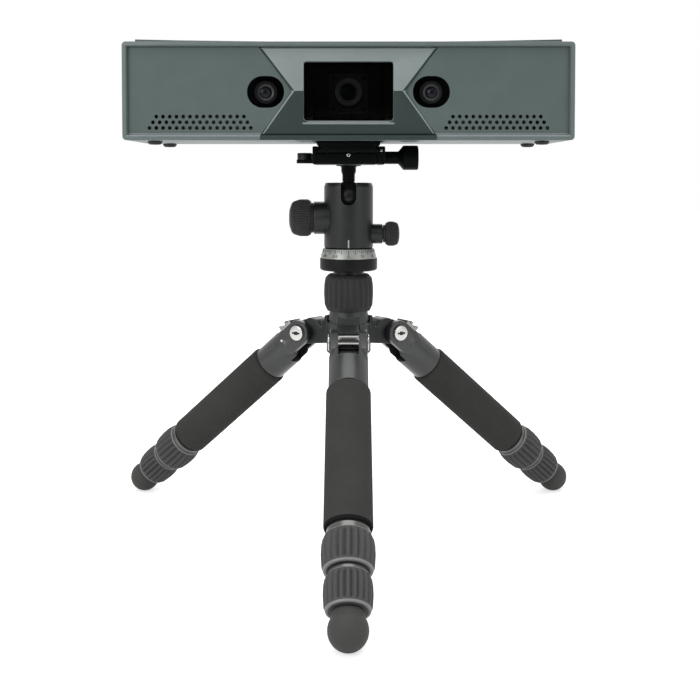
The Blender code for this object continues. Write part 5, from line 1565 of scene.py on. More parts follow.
@dataclass
class Optics:
    """Projector, two cameras, rail, board, fan and power button."""

    frame: Frame
    bar_depth: float = 76.0
    panel_inset: float = 2.6
    lens_setback: float = 3.4
    camera_spacing: float = 100.0
    camera_drop: float = 0.4
    camera_toe: float = 8.0
    lens_radius: float = 7.0
    lens_length: float = 9.0
    focus_ribs: int = 40
    focus_rib: Point = (0.5, 0.5, 2.6)
    focus_height: float = -6.6
    camera_body: float = 27.0
    camera_depth: float = 18.0
    camera_foot: tuple[float, float] = (18.0, 14.0)
    projector_size: tuple[float, float, float] = (44.0, 26.0, 34.0)
    projector_foot: tuple[float, float] = (30.0, 18.0)
    projector_lens_radius: float = 8.5
    projector_lens_length: float = 7.0
    surround_size: float = 24.0
    surround_bore: float = 9.2
    surround_thickness: float = 1.6
    surround_drop: float = 0.5
    surround_screws: float = 9.4
    fan_radius: float = 17.6
    fan_hub_radius: float = 7.4
    fan_length: float = 9.0
    fan_blades: int = 7
    blade_thickness: float = 0.7
    blade_chord: float = 8.4
    blade_flare: float = 3.0
    blade_lean: float = 52.0
    blade_twist: float = 22.0
    blade_bow: float = 0.9
    blade_fit: float = 0.72
    button_radius: float = 4.5
    body: str = "scanner"

    def build(self) -> None:
        """Make the pieces inside and behind the bar."""
        self._camera("left_camera", -1)
        self._camera("right_camera", 1)
        self._projector()
        self._rail_and_board()
        self._fan()
        self._button()

    def _barrel(self, radius: float, length: float) -> Blank:
        """A lens barrel with stepped rings.

        Args:
            radius: Its radius.
            length: Its length down from its front, which is at height zero.

        Returns:
            The barrel.
        """
        profile = [
            (0.0, -2.6), (radius * 0.50, -2.4), (radius * 0.52, -1.9), (radius * 0.72, -1.1),
            (radius * 0.74, -0.5), (radius * 0.86, -0.3), (radius * 0.88, 0.0, 0.1), (radius, 0.0, 0.35),
            (radius, -length * 0.30),
            (radius * 0.95, -length * 0.32), (radius * 0.95, -length * 0.38), (radius, -length * 0.40),
            (radius, -length), (0.0, -length),
        ]
        return Blank().turned(profile, 56, 3)

    def _glass(self, radius: float, rise: float, seat: float) -> Blank:
        """A domed front element.

        Args:
            radius: Its radius.
            rise: Height of its dome.
            seat: Height of its rim.

        Returns:
            The element.
        """
        profile = [(0.0, seat + rise), (radius * 0.35, seat + rise * 0.88), (radius * 0.7, seat + rise * 0.5)]
        profile += [(radius, seat), (radius, seat - 0.6), (0.0, seat - 0.6)]
        return Blank().turned(profile, 48, 3)

    def _camera(self, name: str, side: int) -> None:
        """A camera block on its foot, with its lens, toed in towards the middle.

        Args:
            name: Name of its CAD node.
            side: -1 for the left camera and 1 for the right one.
        """
        bar = self.frame.middle("housing")
        front = bar.y - self.bar_depth / 2.0 + self.panel_inset + self.lens_setback
        turned = Matrix.Rotation(math.radians(-side * self.camera_toe), 4, "Z")
        place = upright(bar.x + side * self.camera_spacing / 2.0, front, bar.z - self.camera_drop) @ turned
        middle = self.lens_length + self.camera_depth / 2.0
        block = Blank().box((self.camera_body, self.camera_depth, self.camera_body), (0.0, middle, 0.0))
        block.soften(0.9, 2)
        floor = self.frame.box(name)[0].z - bar.z + self.camera_drop
        block.add(Blank().box((*self.camera_foot, -floor), (0.0, middle, floor / 2.0)))
        block.add(self._barrel(self.lens_radius, self.lens_length + 1.0), TO_FRONT)
        places = around(self.focus_ribs, self.lens_radius + 0.1, self.focus_height)
        block.add(Blank().copies(Blank().box(self.focus_rib), places), TO_FRONT)
        block.fit("scanner_" + name, self.body, LENS_BLACK, [name], matrix=place)
        glass = self._glass(self.lens_radius * 0.5, 1.1, -2.2)
        glass.fit("scanner_" + name + "_glass", self.body, COATED_LENS, matrix=place @ TO_FRONT)
        rim = Blank().turned([
            (self.lens_radius * 0.55, -1.5), (self.lens_radius * 0.70, -0.9), (self.lens_radius * 0.70, -1.2),
            (self.lens_radius * 0.55, -1.8),
        ], 48, 1, closed=True)
        rim.fit("scanner_" + name + "_ring", self.body, LENS_RING, matrix=place @ TO_FRONT)

    def _projector(self) -> None:
        """The projector block with its square front, four screws and lens."""
        low = self.frame.box("projector")[0]
        bar = self.frame.middle("housing")
        wide, deep, tall = self.projector_size
        front = low.y + self.projector_lens_length
        middle = front + deep / 2.0
        block = Blank().box((wide, deep, tall), (bar.x, middle, bar.z)).soften(0.8, 2)
        block.add(Blank().box((*self.projector_foot, bar.z - low.z), (bar.x, middle, (bar.z + low.z) / 2.0)))
        size, thick = self.surround_size, self.surround_thickness
        surround = Blank().plate(round_corners(size, size, 2.0), 0.0, thick, [ring(self.surround_bore, 40)])
        surround.place(FRONTAL)
        block.add(surround, upright(bar.x, front - thick, bar.z - self.surround_drop))
        block.paint(LENS_RING, lambda at, out: at.y < front - 0.5)
        outwards = upright(bar.x, low.y, bar.z) @ TO_FRONT
        block.add(self._barrel(self.projector_lens_radius, self.projector_lens_length + 1.0), outwards)
        screw = Blank().turned([(0.0, 0.9), (1.5, 0.9, 0.3), (1.5, 0.0), (0.0, 0.0)], 20, 2)
        reach = self.surround_screws
        block.copies(screw, [
            upright(bar.x + x * reach, front - thick, bar.z - self.surround_drop + z * reach) @ TO_FRONT
            for x in (-1, 1) for z in (-1, 1)
        ])
        block.fit("scanner_projector", self.body, LENS_BLACK, ["projector"])
        glass = self._glass(self.projector_lens_radius * 0.5, 1.4, -2.2)
        glass.fit("scanner_projector_glass", self.body, COATED_LENS, matrix=outwards)
        reach = self.projector_lens_radius
        trim = Blank().turned([
            (reach * 0.62, -0.9), (reach * 0.86, 0.02), (reach * 0.98, 0.02), (reach * 0.98, -0.15),
            (reach * 0.62, -1.1),
        ], 56, 1, closed=True)
        trim.fit("scanner_projector_ring", self.body, RING_SATIN, matrix=outwards)

    def _rail_and_board(self) -> None:
        """Give the inner CAD nodes their finish."""
        for name, finish in (("optics_rail", ALUMINIUM), ("main_board", BOARD)):
            node = self.frame.nodes[name]
            node.data.materials.clear()
            node.data.materials.append(finish.material())

    def _fan(self) -> None:
        """The rotor, with blades that twist from root to tip."""
        pivot = self.frame.pivot("fan_spin")
        rear = self.frame.box("fan_rotor")[1].y
        profile = [
            (0.0, self.fan_length), (self.fan_hub_radius, self.fan_length, 1.6), (self.fan_hub_radius, 0.0),
            (self.fan_hub_radius - 1.2, 0.0), (self.fan_hub_radius - 1.2, 2.0), (0.0, 2.0),
        ]
        rotor = Blank().turned(profile, 48)
        blade = Blank()
        bmesh.ops.create_grid(blade.bm, x_segments=8, y_segments=4, size=0.5)
        span = self.fan_radius - self.fan_hub_radius + 0.8
        for vert in blade.bm.verts:
            out = vert.co.x + 0.5
            chord = vert.co.y * (self.blade_chord + self.blade_flare * out)
            lean = math.radians(self.blade_lean - self.blade_twist * out)
            bow = self.blade_bow * (1.0 - 4.0 * vert.co.y ** 2)
            vert.co = (
                self.fan_hub_radius - 0.8 + span * out, chord * math.cos(lean) * self.blade_fit,
                chord * math.sin(lean) * self.blade_fit + bow,
            )
        bmesh.ops.solidify(blade.bm, geom=blade.bm.faces[:], thickness=self.blade_thickness)
        bmesh.ops.recalc_face_normals(blade.bm, faces=blade.bm.faces)
        rotor.copies(blade, around(self.fan_blades, 0.0, self.fan_length / 2.0))
        place = upright(pivot.x, rear, pivot.z) @ TO_FRONT
        rotor.fit("scanner_fan_rotor", "fan", LENS_BLACK, ["fan_rotor"], matrix=place)

    def _button(self) -> None:
        """The power button, dished, in its flange."""
        low, high = self.frame.box("power_button")
        middle = (low + high) / 2.0
        deep = high.y - low.y
        flange = (high.x - low.x) / 2.0
        profile = [
            (0.0, -0.35), (self.button_radius - 1.4, -0.15, 1.0), (self.button_radius - 0.7, 0.0, 0.2),
            (self.button_radius, 0.0, 0.35), (self.button_radius, -deep + 1.0), (flange, -deep + 1.0),
            (flange, -deep), (0.0, -deep),
        ]
        place = upright(middle.x, high.y, middle.z) @ TO_REAR
        Blank().turned(profile, 48).fit(
            "scanner_power_button", "power_button", BLACK_ANODISED_AND_SHADE, ["power_button"], matrix=place
        )


# Quick-release clamp and ball head


@dataclass
class QuickClamp:
    """Dovetail plate, clamp base, jaw, knob and spirit level."""

    frame: Frame
    knob_radius: float = 7.8
    knob_length: float = 9.4
    knob_ribs: int = 24
    shaft_radius: float = 4.0
    shaft_length: float = 9.0
    cone: float = 3.2
    screw_radius: float = 1.7
    screw_length: float = 21.0
    level_radius: float = 4.7
    level_height: float = 4.0
    plate_screw_radius: float = 3.1
    plate_screw_head: float = 6.5

    def build(self) -> None:
        """Make the clamp's pieces."""
        self._plate()
        self._jaws()
        self._knob()
        self._level()

    def _plate(self) -> None:
        """The dovetail plate and the screw through it."""
        plate = Blank().copied(self.frame.nodes["quick_release_plate"])
        plate.soften(0.2, 2, limit=40.0)
        plate.fit("clamp_dovetail_plate", "scanner", CLAMP_BLACK, ["quick_release_plate"])
        low, high = self.frame.box("plate_screw")
        middle = (low + high) / 2.0
        head_top = low.z + 1.8
        profile = [
            (0.0, high.z), (self.plate_screw_radius, high.z, 0.4), (self.plate_screw_radius, head_top),
            (self.plate_screw_head, head_top, 0.25), (self.plate_screw_head, low.z, 0.3),
            (1.9, low.z), (1.9, low.z + 1.0), (0.0, low.z + 1.0),
        ]
        Blank().turned(profile, 48).fit(
            "clamp_plate_screw", "scanner", STEEL, ["plate_screw"], matrix=upright(middle.x, middle.y, 0.0)
        )

    def _jaws(self) -> None:
        """The base with its fixed jaw and level pad, and the moving jaw, with their stop screws."""
        for node, name, body in (("clamp_base", "base_block", "clamp"), ("clamp_jaw", "moving_jaw", "jaw")):
            block = Blank().copied(self.frame.nodes[node]).soften(0.22, 2, limit=40.0)
            block.fit("clamp_" + name, body, CLAMP_BLACK, [node])
        low = self.frame.box("clamp_base")[0]
        self._pin("clamp_front_pin", "clamp", (0.0, low.y, low.z + 5.7), 1.15)
        low, high = self.frame.box("clamp_jaw")
        self._pin("clamp_jaw_pin", "jaw", ((low.x + high.x) / 2.0 + 0.6, low.y, high.z - 2.6), 0.8)

    def _pin(self, name: str, body: str, place: Point, radius: float) -> None:
        """A small bright screw end that shows in the front face.

        Args:
            name: Name of the piece.
            body: The body that carries it.
            place: Middle of its seat on the face.
            radius: Its radius.
        """
        profile = [
            (0.0, -0.1), (radius * 0.45, -0.1), (radius * 0.5, 0.22, 0.1), (radius, 0.16, 0.15),
            (radius, -0.5), (0.0, -0.5),
        ]
        Blank().turned(profile, 24, 2).fit(name, body, STEEL, matrix=aimed(place, (0, -1, 0)))

    def _knob(self) -> None:
        """The clamp knob: plain shaft, cone and fluted grip."""
        pivot = self.frame.pivot("clamp_knob_turn")
        wide = self.shaft_length + self.cone
        end = wide + self.knob_length
        profile = [
            (0.0, end - 0.5), (self.knob_radius - 2.6, end - 0.5, 0.4), (self.knob_radius - 2.0, end, 0.3),
            (self.knob_radius, end, 0.9), (self.knob_radius, wide, 0.5),
            (self.shaft_radius, self.shaft_length, 1.2), (self.shaft_radius, 0.6, 0.1),
            (self.shaft_radius - 0.5, 0.6), (self.shaft_radius - 0.5, 0.0),
            (self.screw_radius, 0.0), (self.screw_radius, -self.screw_length, 0.4), (0.0, -self.screw_length),
        ]
        knob = Blank().turned(profile, self.knob_ribs * 6)
        knob.flute(self.knob_ribs, 0.45, wide + 0.3, end - 0.8, self.knob_radius - 0.6, 0.8)
        knob.fit("clamp_knob_grip", "clamp_knob", CLAMP_BLACK, ["clamp_knob"], matrix=aimed(pivot, (1, 0, 0)))

    def _level(self) -> None:
        """The bull's-eye level: case, fluid, bubble and its ring."""
        low, high = self.frame.box("spirit_level")
        middle = (low + high) / 2.0
        place = upright(middle.x, middle.y, low.z)
        top = self.level_height
        outer = self.level_radius
        case = [
            (outer - 0.9, top - 0.9), (outer - 0.8, top, 0.2), (outer, top - 0.3, 0.3), (outer, -0.25),
            (outer - 0.9, -0.25),
        ]
        shell = Blank().turned(case, 48, 2, closed=True)
        shell.unite(Blank().box((1.35, 6.4, top - 0.35), (outer + 0.25, 0.0, (top - 0.85) / 2.0)))
        shell.fit("level_case", "clamp", HEAD_ANODISED, ["spirit_level"], matrix=place)
        inner = outer - 0.85
        fluid = [(0.0, top - 0.1), (inner * 0.6, top - 0.2), (inner, top - 0.7), (inner, 0.2), (0.0, 0.2)]
        Blank().turned(fluid, 40, 2).fit("level_fluid", "clamp", LEVEL_GLASS, matrix=place)
        bubble = [(0.0, top + 0.05), (0.7, top), (1.1, top - 0.12), (1.1, top - 0.3), (0.0, top - 0.3)]
        Blank().turned(bubble, 32, 2).fit("level_bubble", "clamp", LEVEL_BUBBLE, matrix=place)
        mark = [(1.5, top - 0.02), (1.7, top - 0.02), (1.7, top - 0.3), (1.5, top - 0.3)]
        Blank().turned(mark, 40, 2, closed=True).fit("level_mark", "clamp", LENS_BLACK, matrix=place)


@dataclass
class BallHead:
    """Housing with its mouth and bosses, ball, stem, two knobs and the graduated pan base."""

    frame: Frame
    radius: float = 15.6
    height: float = 41.6
    spigot: float = 11.0
    spigot_height: float = 5.0
    gap: float = 0.3
    ball_radius: float = 10.5
    rim_drop: float = 9.2
    swing: float = 37.0
    notch: float = 5.0
    stem_radius: float = 4.0
    stem_waist: float = 4.7
    stem_top: float = 8.0
    platform_rise: float = 20.7
    base_radius: float = 18.3
    base_height: float = 7.7
    scale_low: float = 17.8
    scale_high: float = 16.2
    scale_height: float = 6.1
    marks: int = 72
    long_mark: tuple[float, float] = (2.6, 0.42)
    short_mark: tuple[float, float] = (1.5, 0.26)
    figures: int = 12
    figure_height: float = 2.5

    def __post_init__(self) -> None:
        """Find the head's axis and heights from the frame."""
        self.axis = self.frame.pivot("pan")
        self.bottom = self.frame.box("head_housing")[0].z
        self.ball = self.frame.pivot("ball_tilt")

    def build(self) -> None:
        """Make the head's pieces."""
        self._housing()
        self._ball_and_stem()
        self._knob("ball_knob", "ball_knob_turn", 11.8, 15.5, 4.6, 44)
        self._knob("pan_knob", "pan_knob_turn", 7.8, 10.6, 2.6, 32)
        self._pan_base()

    def _mouth(self) -> Blank:
        """The cone that the stem swings in, above the ball's seat.

        Returns:
            The cutter, about the ball's middle.
        """
        lean = math.radians(self.swing)
        radius = self.ball_radius + 2 * self.gap
        offset = self.stem_radius / math.cos(lean) + self.gap
        rise = math.tan(lean)
        square = 1.0 + rise ** 2
        root = math.sqrt((offset * rise) ** 2 - square * (offset ** 2 - radius ** 2))
        seat = (root - offset * rise) / square
        top = self.rim_drop + 3.0
        start = math.asin(seat / radius)
        cup = [start - (start + QUARTER) * i / 20.0 for i in range(21)]
        profile = [(0.0, top), (offset + rise * top, top)]
        profile += [(radius * math.cos(angle), radius * math.sin(angle)) for angle in cup[:-1]]
        return Blank().turned(profile + [(0.0, -radius)], 90)

    def _housing(self) -> None:
        """The turned housing, its two bosses, its mouth and its notch."""
        recess = self.spigot + self.gap
        profile = [
            (0.0, self.height), (self.radius - 0.9, self.height, 0.5), (self.radius, self.height - 2.6, 0.8),
            (self.radius, 0.8, 0.1), (self.radius - 0.5, 0.0, 0.1), (recess, 0.0),
            (recess, self.spigot_height), (0.0, self.spigot_height),
        ]
        housing = Blank().turned(profile, 128)
        bosses = Blank()
        for joint, radius in (("ball_knob_turn", 10.5), ("pan_knob_turn", 6.4)):
            pivot = self.frame.pivot(joint) - Vector((self.axis.x, self.axis.y, self.bottom))
            reach = abs(pivot.x)
            root = self.spigot + 0.8
            boss = [(0.0, reach), (radius - 0.1, reach, 0.5), (radius, root), (0.0, root)]
            side = math.copysign(1.0, pivot.x)
            bosses.add(Blank().turned(boss, 72, 3), aimed((0.0, 0.0, pivot.z), (side, 0, 0)))
        housing.unite(bosses)
        lift = Matrix.Translation((0.0, 0.0, self.ball.z - self.bottom))
        housing.cut(self._mouth().place(lift))
        half = self.notch
        angles = [math.pi * i / 20.0 for i in range(1, 20)]
        slot = [(-half, 0.0), (-half, 13.0), (half, 13.0), (half, 0.0)]
        slot += [(half * math.cos(a), -half * math.sin(a)) for a in angles]
        cutter = Blank().plate(slot, -self.radius - 3.0, 0.0)
        cutter.place(FRONTAL)
        housing.cut(cutter.place(lift))
        place = upright(self.axis.x, self.axis.y, self.bottom)
        housing.fit("head_turned_housing", "head", HEAD_ANODISED, ["head_housing"], matrix=place)
        mark = Blank().box((0.8, 0.5, 5.0), (0.0, -self.radius + 0.12, 3.3))
        mark.fit("head_index_mark", "head", MARK_WHITE, matrix=place)

    def _ball_and_stem(self) -> None:
        """The polished ball and the stem under the clamp."""
        Blank().ball(self.ball_radius, across=64, rows=32).fit(
            "head_ball", "ball", BALL_POLISH, ["ball"], Shading.ROUND, matrix=Matrix.Translation(self.ball)
        )
        top = self.platform_rise - self.gap
        profile = [
            (0.0, top), (self.stem_top, top, 0.1), (self.stem_top, top - 0.5, 0.1),
            (self.stem_waist + 0.6, top - 0.7), (self.stem_waist, top - 1.6, 0.6),
            (self.stem_waist, top - 4.0, 0.8), (self.stem_radius, top - 6.0, 0.8),
            (self.stem_radius, self.ball_radius - 0.5), (0.0, self.ball_radius - 0.5),
        ]
        Blank().turned(profile, 72).fit(
            "head_stem", "stem", CLAMP_BLACK, ["stem"], matrix=Matrix.Translation(self.ball)
        )

    def _knob(self, name: str, joint: str, radius: float, length: float, edge: float, ribs: int) -> None:
        """A lock knob with a ribbed grip, a groove and a flat end.

        Args:
            name: Name of the CAD node and body.
            joint: The joint that it turns on.
            radius: Its radius.
            length: Its length.
            edge: Radius of its outer edge.
            ribs: Ribs round its grip.
        """
        pivot = self.frame.pivot(joint)
        direction = self.frame.axis(joint)
        start = abs(pivot.x - self.axis.x) + self.gap
        profile = [
            (0.0, length), (radius * 0.45, length - 0.25, 3.0),
            (radius * 0.86, length - edge * 0.42, edge * 0.7), (radius, length - edge * 1.5, edge),
            (radius, 3.4, 2.0), (radius - 1.2, 1.5, 0.5),
            (radius - 2.2, 1.3, 0.2), (radius - 2.2, 0.0, 0.2), (3.0, 0.0), (3.0, -5.0), (0.0, -5.0),
        ]
        knob = Blank().turned(profile, ribs * 6, 8)
        knob.rows(2.4, length - edge * 0.5, 8)
        knob.flute(ribs, 0.42, 1.8, length - edge * 0.45, radius - edge * 0.5, 1.2)
        place = aimed((self.axis.x + math.copysign(start, direction.x), pivot.y, pivot.z), direction)
        knob.fit("head_" + name, name, RUBBER, [name], matrix=place)

    def _pan_base(self) -> None:
        """The pan base, its silver scale ring and the marks on it."""
        place = upright(self.axis.x, self.axis.y, self.frame.box("pan_base")[0].z)
        low = self.base_height
        high = low + self.scale_height
        end = high + self.spigot_height - 0.3
        seat = self.scale_high - 0.4
        profile = [
            (0.0, end), (self.spigot, end, 0.5), (self.spigot, high), (seat, high, 0.2), (seat, low),
            (self.base_radius, low, 0.4), (self.base_radius, 0.9, 0.5), (self.base_radius - 0.9, 0.0, 0.3),
            (4.3, 0.0), (4.3, 5.8), (0.0, 5.8),
        ]
        Blank().turned(profile, 128).fit("pan_base_body", "column", PAN_ANODISED, ["pan_base"], matrix=place)
        section = [
            (self.scale_high - 0.5, high), (self.scale_high, high, 0.1), (self.scale_low, low + 0.1),
            (self.scale_high - 0.5, low + 0.1),
        ]
        scale = Blank().turned(section, 128, 2, closed=True)
        scale.fit("pan_scale_ring", "column", SCALE_SILVER, matrix=place)
        self._graduations(place, low, high)

    def _graduations(self, place: Matrix, bottom: float, top: float) -> None:
        """Dark marks round the scale, every third one long, and plain figures under them.

        Args:
            place: Where the pan base stands.
            bottom: Height of the scale's lower edge.
            top: Height of its upper edge.
        """
        lean = math.atan2(self.scale_low - self.scale_high, self.scale_height)
        marks = Blank()
        for i in range(self.marks):
            length, wide = self.long_mark if i % 3 == 0 else self.short_mark
            height = top - 0.35 - length / 2.0
            reach = self.scale_high + (top - height) * math.tan(lean)
            stroke = Blank().box((0.16, wide, length))
            turned = Matrix.Rotation(-QUARTER + TURN * i / self.marks, 4, "Z")
            tilt = Matrix.Rotation(-lean, 4, "Y")
            marks.add(stroke, turned @ Matrix.Translation((reach, 0.0, height)) @ tilt)
        marks.fit("pan_scale_marks", "column", MARK_DARK, matrix=place)
        numbers = Blank()
        for i in range(self.figures):
            angle = -QUARTER + TURN * i / self.figures
            height = bottom + 1.75
            reach = self.scale_high + (top - height) * math.tan(lean) + 0.02
            facing = Matrix.Rotation(angle, 4, "Z") @ Matrix.Translation((reach, 0.0, height))
            facing = facing @ Matrix.Rotation(-lean, 4, "Y") @ SIDEWAYS
            numbers.add(Blank().written(str(i * 360 // self.figures), self.figure_height, 0.12), facing)
        numbers.fit("pan_scale_numbers", "column", MARK_DARK, matrix=place)


# Hub and centre column

# Half the length of a cutter for a hinge's bore, in millimetres: longer than any hinge
BORE = 20.0


@dataclass
class Column:
    """Hub with its three tongues, sliding column and the column's twist lock."""

    frame: Frame
    hip_reach: float = 32.2
    hub_rise: float = 15.3
    hub_drop: float = 12.0
    collet_radius: float = 12.2
    collet_height: float = 14.6
    hub_radius: float = 14.2
    arm_root: float = 11.6
    shoulder_reach: float = 16.6
    shoulder_rise: float = 12.6
    shoulder_half: float = 7.4
    groove: tuple[Point, ...] = ((13.05, 10.0, 0.2), (12.5, 9.6, 0.1), (12.5, 8.4, 0.1), (13.5, 8.0, 0.2))
    tongue_radius: float = 7.7
    tongue_bottom: float = 5.6
    tongue_half: float = 6.2
    bolt_radius: float = 2.8
    tube_radius: float = 9.7
    wall: float = 1.2
    cap_radius: float = 11.2
    cap_height: float = 5.0
    stud_radius: float = 4.0
    stud_height: float = 5.5
    lock_radius: float = 15.85
    lock_ribs: int = 24
    gap: float = 0.3
    shoulder: tuple[Point, ...] = (
        (0, 1), (0.40, 0.98, 0.4), (0.48, 0.74, 0.3), (0.74, 0.69, 0.4), (0.82, 0.40, 0.3), (1, 0.32, 0.5),
        (1, -0.20, 0.8), (0.8, -0.34, 0.6), (0, -0.44),
    )
    hump: tuple[Point, ...] = ((-11.6, 4.4), (-17.6, 4.6, 1.5), (-20.4, 8.9, 2.0), (-25.0, 9.9, 3.0))

    def __post_init__(self) -> None:
        """Find the column's axis and the height of the leg pivots."""
        self.axis = self.frame.pivot("pan")
        self.hip = self.frame.pivot("front_hip").z
        self.place = upright(self.axis.x, self.axis.y, self.hip)

    def build(self) -> None:
        """Make the hub, the column and the lock."""
        self._hub()
        self._tube()
        self._lock()

    def _hub(self) -> None:
        """The turned hub with a shoulder and a tongue for each leg."""
        top = self.hub_rise + self.collet_height
        profile = [
            (0.0, top), (self.collet_radius, top, 0.4), (self.collet_radius, self.hub_rise, 0.6),
            *self.groove, (self.hub_radius, 3.0, 1.0), (self.hub_radius, -self.hub_drop + 1.6, 0.6),
            (self.hub_radius - 1.6, -self.hub_drop, 0.4), (0.0, -self.hub_drop),
        ]
        hub = Blank().turned(profile, 128)
        span = self.shoulder_reach - self.arm_root
        side = [
            (-self.arm_root - span * out, self.shoulder_rise * up, *more) for out, up, *more in self.shoulder
        ]
        tip = [QUARTER + math.pi * i / 24 for i in range(25)]
        radius = self.tongue_radius
        tongue = [
            *self.hump, *((-self.hip_reach + radius * math.cos(a), radius * math.sin(a)) for a in tip),
            (-self.arm_root, -self.tongue_bottom),
        ]
        half, width = self.shoulder_half, self.tongue_half
        hinge = Matrix.Translation((0.0, -self.hip_reach, 0.0))
        for name in SIDES:
            out = self.frame.pivot(name + "_hip") - self.axis
            direction = math.atan2(out.y, out.x)
            turned = Matrix.Rotation(direction + QUARTER, 4, "Z")
            block = Blank().plate(side, -half, half, corner=5).soften(1.3, 4, limit=55.0)
            hub.unite(block.place(turned @ SIDEWAYS))
            blade = Blank().plate(tongue, -width, width).soften(0.4, 2, limit=60.0)
            hub.unite(blade.place(turned @ SIDEWAYS))
            hole = Blank().rod(self.bolt_radius + self.gap, -BORE, BORE, 36)
            hub.cut(hole.place(turned @ hinge @ TO_RIGHT))
        hub.cut(Blank().rod(self.tube_radius + self.gap, -self.hub_drop - 2.0, top + 2.0, 96))
        flank = self.hub_radius + 0.3
        # Painted shade: the upright flanks of the shoulders and tongues take the darker black finish.
        hub.paint(
            BLACK_ANODISED_AND_SHADE, lambda at, out: abs(out.z) < 0.5 and at.xy.length > flank and at.z < radius
        )
        hub.fit("tripod_hub", "hub", HUB_CASTING, ["hub"], matrix=self.place)

    def _tube(self) -> None:
        """The sliding column with its stud and its bottom cap."""
        low, high = self.frame.box("column")
        shoulder = high.z - self.stud_height
        cap = low.z + self.cap_height
        bore = self.tube_radius - self.wall
        profile = [
            (0.0, high.z), (self.stud_radius, high.z, 0.5), (self.stud_radius, shoulder),
            (self.tube_radius, shoulder, 0.3), (self.tube_radius, cap), (self.cap_radius, cap, 0.4),
            (self.cap_radius, low.z, 0.8), (bore, low.z, 0.4), (bore, shoulder - 4.0), (0.0, shoulder - 4.0),
        ]
        place = upright(self.axis.x, self.axis.y, 0.0)
        Blank().turned(profile, 96).fit(
            "centre_column_tube", "column", BLACK_ANODISED_AND_SHADE, ["column"], matrix=place
        )

    def _lock(self) -> None:
        """The column's ribbed twist lock."""
        low, high = self.frame.box("column_lock")
        tall = high.z - low.z
        radius = self.lock_radius
        wide = self.collet_radius + self.gap
        slim = self.tube_radius + self.gap
        step = self.hip + self.hub_rise + self.collet_height + self.gap - low.z
        profile = [
            (slim, tall), (radius * 0.80, tall, 0.5), (radius * 0.945, tall * 0.90, 2.2),
            (radius * 0.99, tall * 0.70, 4.0), (radius, tall * 0.45, 4.0), (radius * 0.975, tall * 0.16, 2.4),
            (radius * 0.895, 1.0, 0.6), (radius * 0.87, 0.0, 0.2), (wide, 0.0), (wide, step), (slim, step),
        ]
        lock = Blank().turned(profile, self.lock_ribs * 8, closed=True)
        lock.rows(1.2, tall - 1.0, 14)
        lock.flute(self.lock_ribs, 0.85, 1.4, tall - 1.2, wide + 0.5, 2.2)
        lock.fit(
            "column_twist_lock", "column_lock", COLUMN_RUBBER, ["column_lock"],
            matrix=upright(self.axis.x, self.axis.y, low.z),
        )


# Legs


